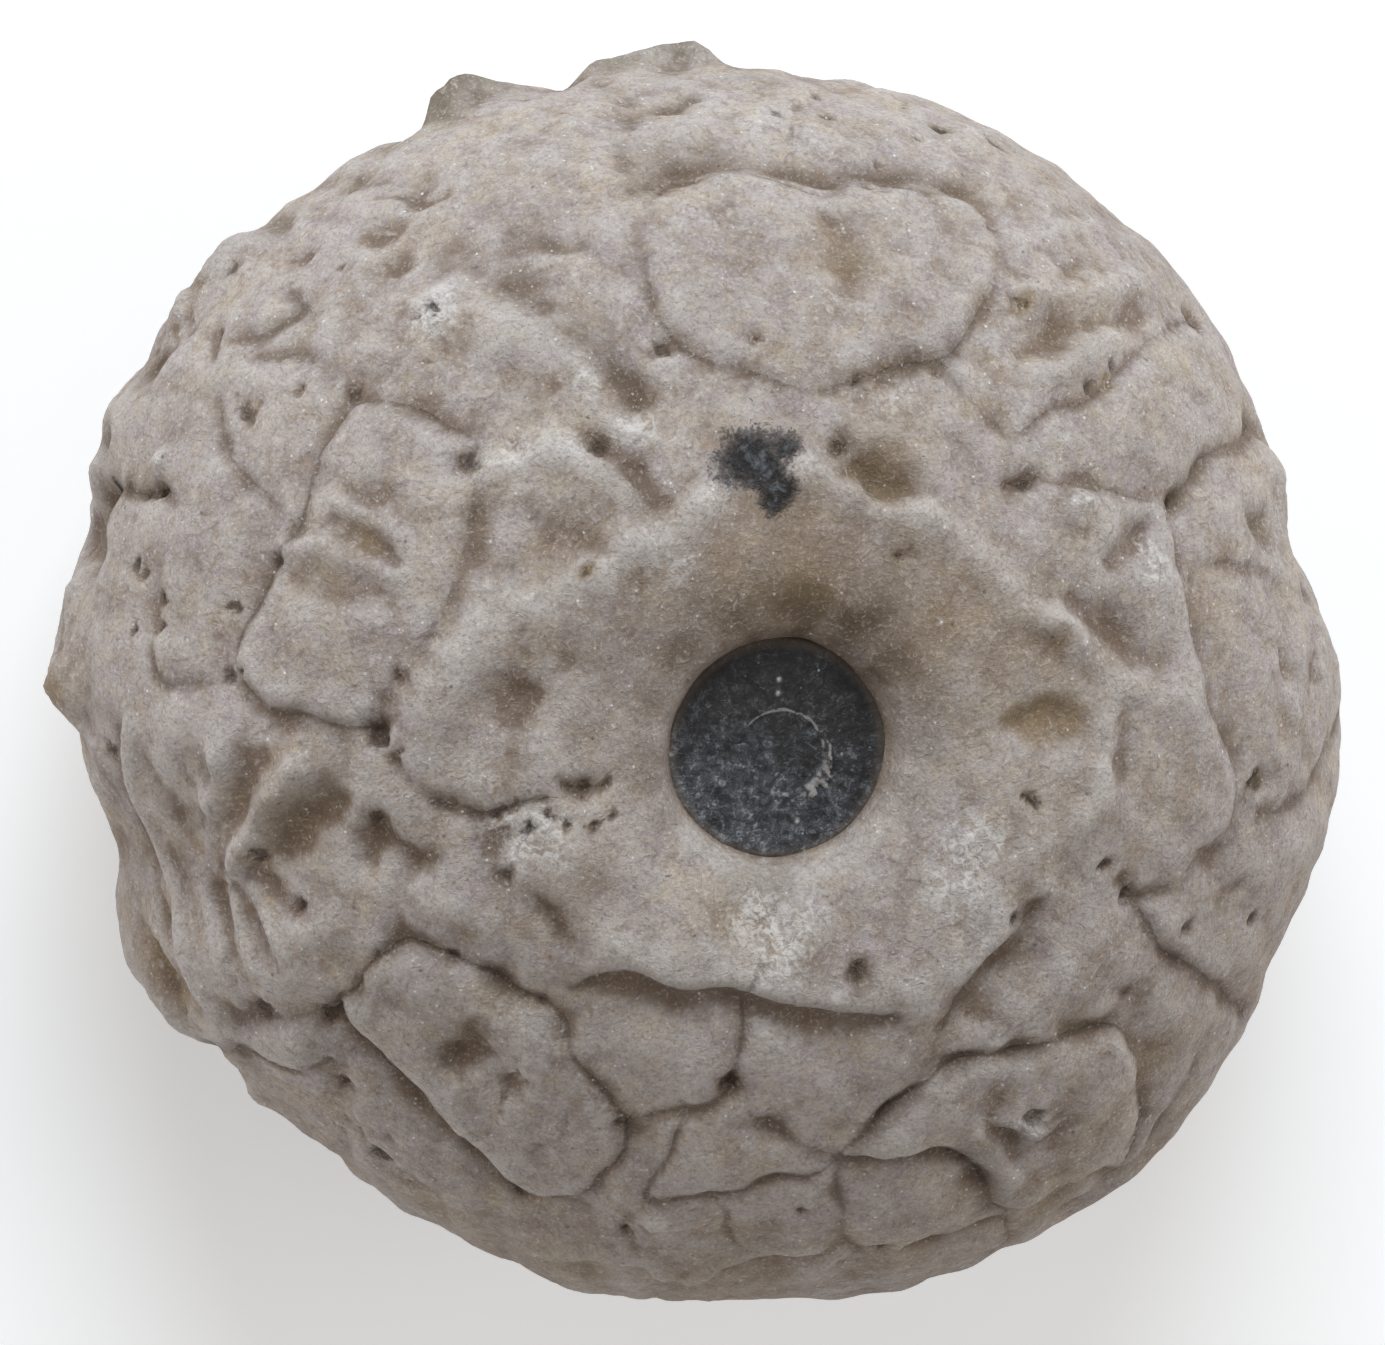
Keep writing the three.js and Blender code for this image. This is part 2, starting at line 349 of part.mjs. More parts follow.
// Nearest place on a run of points: how far it is, how far along it lies from 0 to 1, and on
// which side of the run the point is, +1 for the left-hand side seen from outside.
function nearestOn(points, p) {
  const line = new THREE.Line3();
  const foot = new THREE.Vector3();
  const best = { distance: Infinity, along: 0, side: 1 };
  for (let i = 0; i + 1 < points.length; i += 1) {
    line.set(points[i], points[i + 1]);
    const t = line.closestPointToPointParameter(p, true);
    line.at(t, foot);
    const distance = foot.distanceTo(p);
    if (distance < best.distance) {
      const forward = line.delta(new THREE.Vector3());
      const away = p.clone().sub(foot);
      best.distance = distance;
      best.along = (i + t) / (points.length - 1);
      best.side = forward.cross(away).dot(p) > 0 ? 1 : -1;
    }
  }
  return best;
}

const bell = (distance, width) => Math.exp(-((distance / width) ** 2));

// Depth of the deepest seam at a point, and the steps beside the seams that have one.
function seamRelief(p) {
  let groove = 0;
  let step = 0;
  for (const seam of SEAM_CURVES) {
    const near = nearestOn(seam.points, p);
    if (near.distance < seam.width * REACH) {
      const crease = CREASE * bell(near.distance, Math.max(seam.width, NARROWEST));
      const valley = VALLEY * bell(near.distance, seam.width * VALLEY_WIDTH);
      groove = Math.max(groove, seam.depth * (crease + valley));
      if (seam.step) {
        const taper = seam.closed ? 1 : Math.min(1, near.along * 6, (1 - near.along) * 6);
        const across = near.distance / seam.width;
        const rise = Math.tanh(across) * bell(across, STEP_WIDTH);
        step += 0.5 * seam.step * taper * near.side * rise;
      }
    }
  }
  return step - groove;
}

function ridgeRelief(p) {
  let relief = 0;
  for (const ridge of RIDGE_CURVES) {
    relief += ridge.height * bell(nearestOn(ridge.points, p).distance, ridge.width);
  }
  return relief;
}

// Height of a long mark between two points, from 0 to 1: fuller in its middle than at its ends.
function spindle(p, [a1, c1, a2, c2, radius]) {
  const near = nearestOn([onBody(a1, c1), onBody(a2, c2)], p);
  const middle = 4 * near.along * (1 - near.along);
  const width = Math.max(radius, NARROWEST) * (0.85 + 0.3 * middle);
  return (0.75 + 0.25 * middle) * bell(near.distance, width);
}

function spotRelief(p) {
  let relief = 0;
  for (const [azimuth, colatitude, radius, depth] of PITS) {
    const distance = onBody(azimuth, colatitude).distanceTo(p);
    const wall = (distance / Math.max(radius, NARROWEST)) ** PIT_POWER;
    relief -= PIT_SHARE * depth * Math.exp(-wall);
  }
  for (const hollow of HOLLOWS) {
    relief -= hollow[5] * spindle(p, hollow);
  }
  for (const bump of BUMPS) {
    relief += bump[5] * spindle(p, bump);
  }
  return relief;
}

// Middles of the tegmen's plates, ring by ring around the one at the bottom.
function tegmenMiddles() {
  const middles = [onBody(0, 180)];
  for (let ring = 1; ring <= TEGMEN_RINGS; ring += 1) {
    const count = ring * PLATE_STEP;
    for (let i = 0; i < count; i += 1) {
      const azimuth = (360 * (i + 0.5 * (ring % 2))) / count + 4 * Math.sin(3 * i + ring);
      middles.push(onBody(azimuth, 180 - ring * RING_SPACING + 2 * Math.cos(5 * i)));
    }
  }
  return middles;
}

const TEGMEN_MIDDLES = tegmenMiddles();

function tegmenRelief(p, colatitude) {
  const share = THREE.MathUtils.smoothstep(colatitude, TEGMEN_EDGE, TEGMEN_EDGE + TEGMEN_BLEND);
  if (share === 0) return 0;
  const byDistance = TEGMEN_MIDDLES.map((m) => m.distanceTo(p)).sort((a, b) => a - b);
  const fromSeam = (byDistance[1] - byDistance[0]) / 2;
  return -share * TEGMEN_SEAM * bell(fromSeam, TEGMEN_SEAM_WIDTH);
}

function armRelief(p) {
  let relief = 0;
  for (let ray = 0; ray < RAYS; ray += 1) {
    for (const side of [-1, 1]) {
      const azimuth = FIRST_RAY + (360 * ray) / RAYS + side * ARM_SPREAD;
      const distance = onBody(azimuth, ARM_COLATITUDE).distanceTo(p);
      relief += ARM_LIP * bell(distance, ARM_RADIUS * LIP_REACH);
      relief -= (ARM_DEPTH + ARM_LIP) * bell(distance, ARM_RADIUS);
    }
  }
  return relief;
}

// Smooth lumps from a few crossed waves, from -1 to 1.
function lumps({ x, y, z }) {
  const first = Math.sin(2.1 * x + 1.3 * y + 0.4) * Math.sin(1.7 * y - 1.1 * z + 1.9);
  const second = Math.sin(1.9 * z + 0.8 * x + 4.1) * Math.sin(2.3 * x - 1.2 * y + 0.7);
  return (first + second) / 2;
}

// The same waves push points sideways, so that no seam is too smooth a line.
function warped(p) {
  return new THREE.Vector3(
    p.x + WARP * Math.sin(1.7 * p.y + 2.3 * p.z),
    p.y + WARP * Math.sin(1.9 * p.z + 2.1 * p.x),
    p.z + WARP * Math.sin(2.2 * p.x + 1.5 * p.y),
  );
}

// How far the stem end is sunk at a point of the plain body.
function sunken({ x, y, z }) {
  if (z <= 0) return 0;
  const across = Math.hypot(x, y);
  const throat = THROAT_DEPTH * Math.exp(-((across / THROAT_REACH) ** THROAT_POWER));
  return DISH_DEPTH * bell(across, DISH_REACH) + throat;
}

// The real surface point along a unit direction from the body's centre.
function surfacePoint(dir) {
  const plain = dir.clone().multiplyScalar(bodyRadius(dir));
  const p = warped(plain);
  const colatitude = Math.acos(dir.z) / DEGREE;
  const relief = seamRelief(p) + ridgeRelief(p) + spotRelief(p) + tegmenRelief(p, colatitude)
    + armRelief(p) + LUMP_HEIGHT * lumps(plain) - sunken(plain);
  const point = dir.clone().multiplyScalar(plain.length() + relief);
  point.z = Math.max(point.z, -REST_DROP);
  return point;
}

// Moves a unit direction along its meridian towards the stem end.
function drawnUp(dir) {
  const azimuth = Math.atan2(dir.y, dir.x);
  const colatitude = Math.acos(THREE.MathUtils.clamp(dir.z, -1, 1));
  return direction(azimuth / DEGREE, (colatitude - DRAWN_UP * Math.sin(colatitude)) / DEGREE);
}

function bodyGeometry() {
  const geometry = closedGeometry(new THREE.IcosahedronGeometry(1, BODY_DETAIL));
  const positions = geometry.getAttribute('position');
  const dir = new THREE.Vector3();
  for (let i = 0; i < positions.count; i += 1) {
    const point = surfacePoint(drawnUp(dir.fromBufferAttribute(positions, i).normalize()));
    positions.setXYZ(i, point.x, point.y, point.z);
  }
  return geometry;
}

// Keeps only positions and joins the ones that agree, so that a mesh is closed.
function closedGeometry(geometry) {
  geometry.deleteAttribute('normal');
  geometry.deleteAttribute('uv');
  return mergeVertices(geometry, 1e-4);
}

const wasm = await Module();
wasm.setup();

function toSolid(geometry) {
  return new wasm.Manifold(new wasm.Mesh({
    numProp: 3,
    vertProperties: new Float32Array(geometry.getAttribute('position').array),
    triVerts: new Uint32Array(geometry.getIndex().array),
  }));
}

function toGeometry(solid) {
  const mesh = solid.getMesh();
  const geometry = new THREE.BufferGeometry();
  geometry.setAttribute('position', new THREE.BufferAttribute(mesh.vertProperties, 3));
  geometry.setIndex(new THREE.BufferAttribute(mesh.triVerts, 1));
  return geometry;
}

const STEM_TOP = CUP_HEIGHT - DISH_DEPTH - THROAT_DEPTH;
const SOCKET_FLOOR = STEM_TOP - STEM_THICKNESS - SOCKET_GAP;

// The cup of fused plates, with a round socket where the stem stood.
function calyx() {
  const radius = STEM_RADIUS + SOCKET_GAP;
  const height = CUP_HEIGHT - SOCKET_FLOOR;
  const socket = new THREE.CylinderGeometry(radius, radius, height, ROUND_STEPS);
  socket.rotateX(Math.PI / 2);
  socket.translate(0, 0, SOCKET_FLOOR + height / 2);
  const cut = toSolid(bodyGeometry()).subtract(toSolid(closedGeometry(socket)));
  const material = new THREE.MeshStandardMaterial({ color: 0x9a8f83, roughness: 0.85, metalness: 0 });
  const mesh = new THREE.Mesh(toGeometry(cut), material);
  mesh.name = 'calyx';
  return mesh;
}

// The last disc of the stem, with the shallow round mark of its canal.
function stemStub() {
  const top = STEM_TOP;
  const edge = 0.15;
  const profile = [
    [0, top - STEM_THICKNESS],
    [STEM_RADIUS, top - STEM_THICKNESS],
    [STEM_RADIUS, top - edge],
    [STEM_RADIUS - edge, top],
    [LUMEN_RADIUS + edge, top],
    [LUMEN_RADIUS, top - LUMEN_DEPTH],
    [0, top - LUMEN_DEPTH],
  ].map(([x, y]) => new THREE.Vector2(x, y));
  const geometry = new THREE.LatheGeometry(profile, ROUND_STEPS);
  geometry.rotateX(Math.PI / 2);
  const material = new THREE.MeshStandardMaterial({ color: 0x3a3b40, roughness: 0.6, metalness: 0 });
  const mesh = new THREE.Mesh(closedGeometry(geometry), material);
  mesh.name = 'stem_stub';
  return mesh;
}

// The whole fossil stands with its box centred over the origin and its flat patch at z = 0.
const fossil = new THREE.Group();
fossil.add(calyx(), stemStub());
const box = new THREE.Box3().setFromObject(fossil, true);
const middle = box.getCenter(new THREE.Vector3());
fossil.position.set(-middle.x, -middle.y, -box.min.z);

export default fossil;
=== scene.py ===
import math
import bpy
import numpy as np
from mathutils import Matrix, Vector, noise


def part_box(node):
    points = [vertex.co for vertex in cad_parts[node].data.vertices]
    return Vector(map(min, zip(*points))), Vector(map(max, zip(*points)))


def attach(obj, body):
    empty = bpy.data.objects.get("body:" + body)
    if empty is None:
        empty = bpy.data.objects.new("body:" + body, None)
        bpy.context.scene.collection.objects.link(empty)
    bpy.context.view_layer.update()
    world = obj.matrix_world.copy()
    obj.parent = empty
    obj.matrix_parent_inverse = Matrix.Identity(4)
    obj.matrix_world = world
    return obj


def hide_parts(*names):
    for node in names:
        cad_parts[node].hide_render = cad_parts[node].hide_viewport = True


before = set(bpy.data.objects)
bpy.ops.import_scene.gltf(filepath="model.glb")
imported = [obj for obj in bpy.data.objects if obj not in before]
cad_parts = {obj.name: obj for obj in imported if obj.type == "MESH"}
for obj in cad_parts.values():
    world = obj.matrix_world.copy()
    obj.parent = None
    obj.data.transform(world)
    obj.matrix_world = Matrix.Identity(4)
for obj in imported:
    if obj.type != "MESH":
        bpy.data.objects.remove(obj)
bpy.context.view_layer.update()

MM = 0.001

# Driving dimensions of the body, in millimetres, as in the solids. A seam's curve has a point at
# every step, and its relief is worked out as far away as its reach times its width.
CUP_RADIUS = 19.2
CUP_HEIGHT = 15.5
TEGMEN_HEIGHT = 9.5
REST_DROP = 8.7
ROUNDNESS = 2.1
DISH_DEPTH = 1.1
DISH_REACH = 6.6
THROAT_DEPTH = 1.4
THROAT_REACH = 4.5
THROAT_POWER = 4
SEAM_STEP = 0.4
REACH = 7

# The body's centre, on the stem axis at the widest level, found from the stem disc's box.
STEM_LOW, STEM_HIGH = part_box("stem_stub")
STEM_RADIUS = (STEM_HIGH[0] - STEM_LOW[0]) / 2 / MM
STEM_THICKNESS = (STEM_HIGH[2] - STEM_LOW[2]) / MM
STEM_TOP = CUP_HEIGHT - DISH_DEPTH - THROAT_DEPTH
CENTRE = np.array([
    (STEM_LOW[0] + STEM_HIGH[0]) / 2 / MM,
    (STEM_LOW[1] + STEM_HIGH[1]) / 2 / MM,
    STEM_HIGH[2] / MM - STEM_TOP,
])

# Lobes and notches of the rim: azimuth and half width in degrees, height in millimetres.
RIM_LOBES = [
    (312, 32, 1.7), (352, 22, 0.9), (150, 16, 0.65), (180, 12, 0.7), (208, 9, 0.5), (224, 9, -0.5),
    (245, 14, -0.3), (24, 16, -0.3), (90, 18, -0.4), (195, 6, -0.5), (34, 14, 0.4), (190, 8, -0.45),
    (257, 10, 0.4), (287, 10, 0.3), (311, 7, 0.25), (335, 8, -0.35),
]

# Seams between plates: points are (azimuth, colatitude) in degrees, seen from the body's centre,
# with colatitude 0 at the stem end. Depth, width and step are in millimetres; with a step, the
# side to the left of the seam's direction, seen from outside, stands higher. A seam's line is how
# sharp and dark its bottom is, 1 if not given.
SEAMS = [
    dict(name="north plate", closed=True, depth=0.5, width=0.4, step=-0.2, line=0.5, at=[
        (98, 64.5), (95, 65), (91, 65.5), (87, 64.5), (83, 63), (81, 62.5), (79, 64.5), (76, 65.5),
        (72, 66), (68, 66.5), (65, 65.5), (62.5, 63), (61.5, 60), (61, 56.5), (62, 53), (63, 49.5),
        (65, 47), (70, 45), (75, 42.5), (80, 40.5), (84, 40), (93, 41.5), (99.5, 43.5), (103, 45.5),
        (104.6, 49.5), (104.2, 53), (103, 57), (101.3, 61)]),
    dict(name="west plate", closed=True, depth=0.55, width=0.4, step=-0.25, line=0.8, at=[
        (139, 58.5), (136, 54), (134, 47), (140, 43.5), (146, 41), (152, 40), (158, 40), (163, 41),
        (167, 42), (171, 43), (176, 44), (175.8, 47), (175.6, 50), (175, 54), (173.5, 57.3),
        (171.5, 58.7), (168.5, 59), (164, 58.5), (159, 57.5), (154, 57), (149, 57.8), (145, 59)]),
    dict(name="southwest plate", closed=True, depth=0.7, width=0.4, step=-0.35, at=[
        (211.3, 56.5), (210.6, 53.5), (208.6, 51), (207.8, 49), (207.2, 45.6), (209, 43.8), (212, 42.3),
        (215.5, 41), (220, 40), (226.5, 38.7), (231.5, 39), (236.5, 41), (240, 42.5), (246, 44.3),
        (249.5, 46), (250.5, 49), (250.5, 52), (249.5, 56), (247, 60), (243.5, 61.5), (235.5, 59.3),
        (230, 59), (222.5, 58.3), (217, 58)]),
    dict(name="southeast plate", closed=True, depth=0.6, width=0.35, step=-0.25, line=0.9, at=[
        (279.5, 47.8), (281.5, 46.5), (284, 45.3), (287.5, 43), (291.5, 41.7), (296, 41), (301.5, 41.2),
        (305, 42.2), (310, 45), (314.5, 47.3), (318.3, 49.5), (319.5, 51.5), (319, 55), (316.5, 60),
        (312.5, 67), (309, 70), (307, 67), (304, 66.3), (300.5, 65), (298.5, 64), (297, 62.5),
        (296.3, 58.5), (296.3, 55), (293.5, 51.5), (289.5, 50), (283.5, 49)]),
    dict(name="east plate", depth=0.45, width=0.35, step=-0.3, line=0.6, at=[
        (48, 39), (45, 41), (41, 42.5), (36, 46), (32.5, 48.5), (29, 51.5), (25, 51.5), (20, 50.3),
        (12, 49), (8, 49), (3, 49.5), (359, 51.5), (354, 53), (351, 53.7), (347, 53), (343, 50.5),
        (338, 47.5), (335, 44.5), (337, 42)]),
    dict(name="east foot", depth=0.4, width=0.3, step=0.2, line=0.8, at=[
        (335, 44.5), (332.5, 47.5), (330.5, 50.5), (329.7, 55), (329.6, 58.5), (329.2, 62), (328.6, 66),
        (328, 73)]),
    dict(name="east upper", depth=0.55, width=0.35, step=0.2, line=0.5, at=[
        (27.5, 53), (28, 57), (28.5, 62), (27, 68), (25.5, 76)]),
    dict(name="east middle", depth=0.3, width=0.3, step=0.15, line=0.4, at=[
        (18, 51), (18, 55), (16.5, 59), (13, 65), (9.5, 70), (8, 75)]),
    dict(name="east lower", depth=0.45, width=0.4, step=0.1, line=0.3, at=[
        (351, 54.5), (349.5, 58), (349, 61), (351, 66), (354.5, 73), (356, 80)]),
    dict(name="northeast", depth=0.28, width=0.3, line=0.8, at=[
        (51, 43), (48.5, 48), (45, 51.5), (43.5, 55), (42.5, 60), (41, 66), (39, 72), (37, 77)]),
    dict(name="northeast near", depth=0.3, width=0.35, line=0.4, at=[
        (64, 46), (60, 44), (52, 43), (49, 39)]),
    dict(name="north valley", depth=0.65, width=0.5, line=0.2, at=[
        (102, 64.8), (97.5, 66.4), (94.3, 66.8), (90, 66.5), (86, 65.8), (82.5, 65.4), (80, 65.3),
        (77, 66.4), (73, 67.4), (71.5, 68.1), (68, 68), (65.5, 67), (63.5, 65.5)]),
    dict(name="north rim", depth=0.2, width=0.15, line=0.5, at=[(84, 67), (84, 72), (82.5, 77)]),
    dict(name="north rim left", depth=0.45, width=0.5, line=0.2, at=[
        (101, 65), (101, 71), (97, 77), (92, 79.5)]),
    dict(name="northwest fold", depth=0.5, width=0.8, line=0.1, at=[
        (122, 64), (119, 59.5), (117, 56), (114, 52), (112, 47), (111.5, 43)]),
    dict(name="northwest short fold", depth=0.45, width=0.5, line=0.1, at=[
        (116, 63), (112, 60.5), (108, 59.5)]),
    dict(name="northwest upper fold", depth=0.35, width=0.6, line=0.1, at=[
        (132, 67.5), (129, 67.5), (126, 69.5)]),
    dict(name="northwest side", depth=0.45, width=0.35, step=-0.25, line=0.4, at=[
        (134.5, 78), (135.5, 75), (136, 72.5), (138, 72.5), (140, 73.3), (142, 75)]),
    dict(name="northwest corner", depth=0.25, width=0.4, line=0.2, at=[
        (136, 71), (138, 66), (140.5, 61)]),
    dict(name="northwest small plate", depth=0.3, width=0.35, line=0.4, at=[
        (134, 46), (127, 42), (121, 39.5), (118.7, 36), (118, 33.2), (117.3, 31.5), (114.5, 31.2)]),
    dict(name="two-pit plate", depth=0.4, width=0.4, line=0.3, at=[
        (139, 66), (141, 70), (144, 73), (148, 72), (151, 69), (152, 66), (153, 62.5), (154, 58)]),
    dict(name="west rim curl", depth=0.35, width=0.2, line=0.6, at=[
        (143, 79), (144.5, 77), (145.2, 75.5), (144.5, 74), (143, 73.3)]),
    dict(name="west rim plate", depth=0.25, width=0.35, line=0.5, at=[
        (168, 71), (170.5, 70), (174, 68.5), (175, 66), (174, 63), (173, 60)]),
    dict(name="west rim crack", depth=0.45, width=0.25, line=0.9, at=[
        (161.5, 88), (160, 82), (159, 78.5), (158, 74)]),
    dict(name="southwest edge", depth=0.4, width=0.4, line=0.2, at=[
        (178, 72), (181, 74), (186, 76), (191, 77), (198, 76.5), (204, 75), (209, 72)]),
    dict(name="southwest foot", depth=0.45, width=0.5, line=0.4, at=[
        (210, 68.5), (211, 65), (211.5, 61), (212, 57.5)]),
    dict(name="southwest low crease", depth=0.35, width=0.2, line=0.7, at=[
        (214.5, 74), (216, 71), (218, 68.5), (218.3, 66), (218, 63)]),
    dict(name="southwest notch", depth=0.5, width=0.5, line=0.2, at=[
        (214, 73), (214.5, 79), (215.5, 87)]),
    dict(name="west small plate", depth=0.4, width=0.35, line=0.4, at=[
        (177.5, 44), (180, 42), (184, 39.5), (187, 37), (189.5, 34.5)]),
    dict(name="west inner edge", depth=0.3, width=0.5, line=0.1, at=[
        (160, 39.5), (157, 35.5), (161, 32), (170, 30.5)]),
    dict(name="crust crack", depth=0.35, width=0.2, line=1, at=[
        (187, 38.5), (189.5, 36), (189.5, 33), (189, 30), (188.5, 27)]),
    dict(name="southwest basal", depth=0.3, width=0.6, line=0.05, at=[
        (196, 33), (203, 34), (210, 31), (216, 30.5), (224, 33), (228.5, 35.5)]),
    dict(name="south step", depth=0.4, width=0.3, step=0.75, line=0.6, at=[
        (228.5, 35), (229.5, 32.3), (232, 30.3), (236, 29.2), (242, 28.4), (249.5, 27.6), (256, 26.8),
        (263.5, 26.9), (271, 27.6), (279, 29.1), (287, 30.3), (292.5, 31.6)]),
    dict(name="southeast step", depth=0.6, width=0.45, step=0.65, line=0.5, at=[
        (300.5, 36), (302.5, 34.8), (305.5, 33.8), (310, 32.9), (316.5, 32.8), (321, 33),
        (325.5, 33.4)]),
    dict(name="south middle", depth=0.25, width=0.2, line=0.8, at=[
        (261.5, 23), (261, 26), (261.5, 30), (262, 34), (262.5, 38)]),
    dict(name="south left foot", depth=0.4, width=0.3, line=0.4, at=[
        (263, 39), (259, 40.5), (256, 41.5), (252.5, 43.5), (249.5, 45.5)]),
    dict(name="south right foot", depth=0.35, width=0.4, line=0.4, at=[
        (263, 39), (267, 42), (271, 43.7), (275, 45.3), (279, 47.5)]),
    dict(name="south low middle", depth=0.3, width=0.2, line=0.7, at=[
        (256, 42), (257, 46), (256, 50), (256.3, 54.5)]),
    dict(name="south low", depth=0.3, width=0.25, line=0.9, at=[
        (257, 54.3), (261, 53.3), (265, 52.3), (268, 51.3), (270, 50.3), (273, 50), (276, 49.6),
        (279, 48)]),
    dict(name="square plate left", depth=0.35, width=0.3, line=0.5, at=[
        (279.3, 48.5), (279.7, 53.5), (280, 57.5), (281, 61.5), (283, 64.5)]),
    dict(name="square plate foot", depth=0.4, width=0.35, line=0.5, at=[
        (283, 65), (287.5, 64.5), (293.5, 65.5), (297, 66)]),
    dict(name="square plate right", depth=0.35, width=0.25, line=0.7, at=[
        (297, 63), (297.5, 66), (297, 73)]),
    dict(name="southeast rim band", depth=0.35, width=0.5, line=0.1, at=[
        (324, 64), (321, 67), (316, 69.5), (311, 72), (304, 71.5)]),
    dict(name="low south row", depth=0.4, width=0.4, step=0.15, at=[
        (232, 84), (240, 82), (249, 83), (258, 81.5), (267, 83), (276, 81.5), (284, 82), (293, 80.5),
        (302, 81.5), (311, 80), (320, 81), (330, 79.5), (339, 81)]),
    dict(name="first low south seam", depth=0.4, width=0.35, at=[
        (249, 83), (251, 88), (249, 93), (251, 99)]),
    dict(name="second low south seam", depth=0.4, width=0.35, at=[
        (276, 81.5), (274, 87), (277, 93), (275, 99)]),
    dict(name="third low south seam", depth=0.4, width=0.35, at=[
        (302, 81.5), (304, 87), (302, 93), (304, 99)]),
    dict(name="fourth low south seam", depth=0.4, width=0.35, at=[
        (330, 79.5), (328, 86), (330, 92), (328, 98)]),
    dict(name="lowest south row", depth=0.3, width=0.35, at=[
        (250, 92), (258, 93.5), (267, 92), (277, 93), (286, 92), (295, 93.5), (302, 93)]),
]

# Places where seams fade: azimuth, colatitude, radius, share that is lost.
FADED = [
    (102.5, 57, 2.0, 0.6), (88, 40, 2.4, 0.4), (150, 41, 2.6, 0.75), (164, 41.5, 2.6, 0.8),
    (157, 40.5, 2.2, 0.75), (152, 58, 2.0, 0.35), (68, 66, 2.2, 0.4), (84, 63.5, 1.5, 0.5),
    (102, 68, 1.6, 0.5), (245, 43.5, 1.6, 0.5), (229, 39.5, 1.6, 0.6), (251, 52, 1.6, 0.5),
    (175, 60, 1.6, 0.4), (98, 42.5, 1.4, 0.4), (140, 44, 1.6, 0.6), (164, 59, 1.6, 0.35),
    (55, 42, 1.6, 0.5), (30, 56, 1.8, 0.5), (258, 56, 1.0, 0.5), (296, 60, 1.5, 0.4),
    (168, 59, 1.2, 0.3), (248, 55, 1.8, 0.6), (318, 57, 2.4, 0.6), (303, 66, 1.5, 0.4),
    (214, 42, 1.6, 0.3), (27, 64, 2.4, 0.4), (351, 66, 2.0, 0.4), (44, 60, 2.4, 0.4),
    (134, 48, 1.2, 0.5), (136, 56, 1.2, 0.3), (121, 40, 1.6, 0.5), (146, 72, 1.4, 0.6),
    (10, 66, 2.0, 0.5), (20, 50, 1.6, 0.4), (282, 60, 1.4, 0.3), (14, 49, 3.0, 0.6),
    (346, 51, 1.8, 0.7), (135, 77, 1.0, 0.7), (209, 55, 1.1, 0.6), (104, 52, 1.6, 0.5),
    (3, 49, 2.0, 0.4), (176, 50, 1.6, 0.3), (61, 57, 2.2, 0.6), (143, 77, 0.8, 0.4),
    (141, 62, 1.4, 0.3),
]

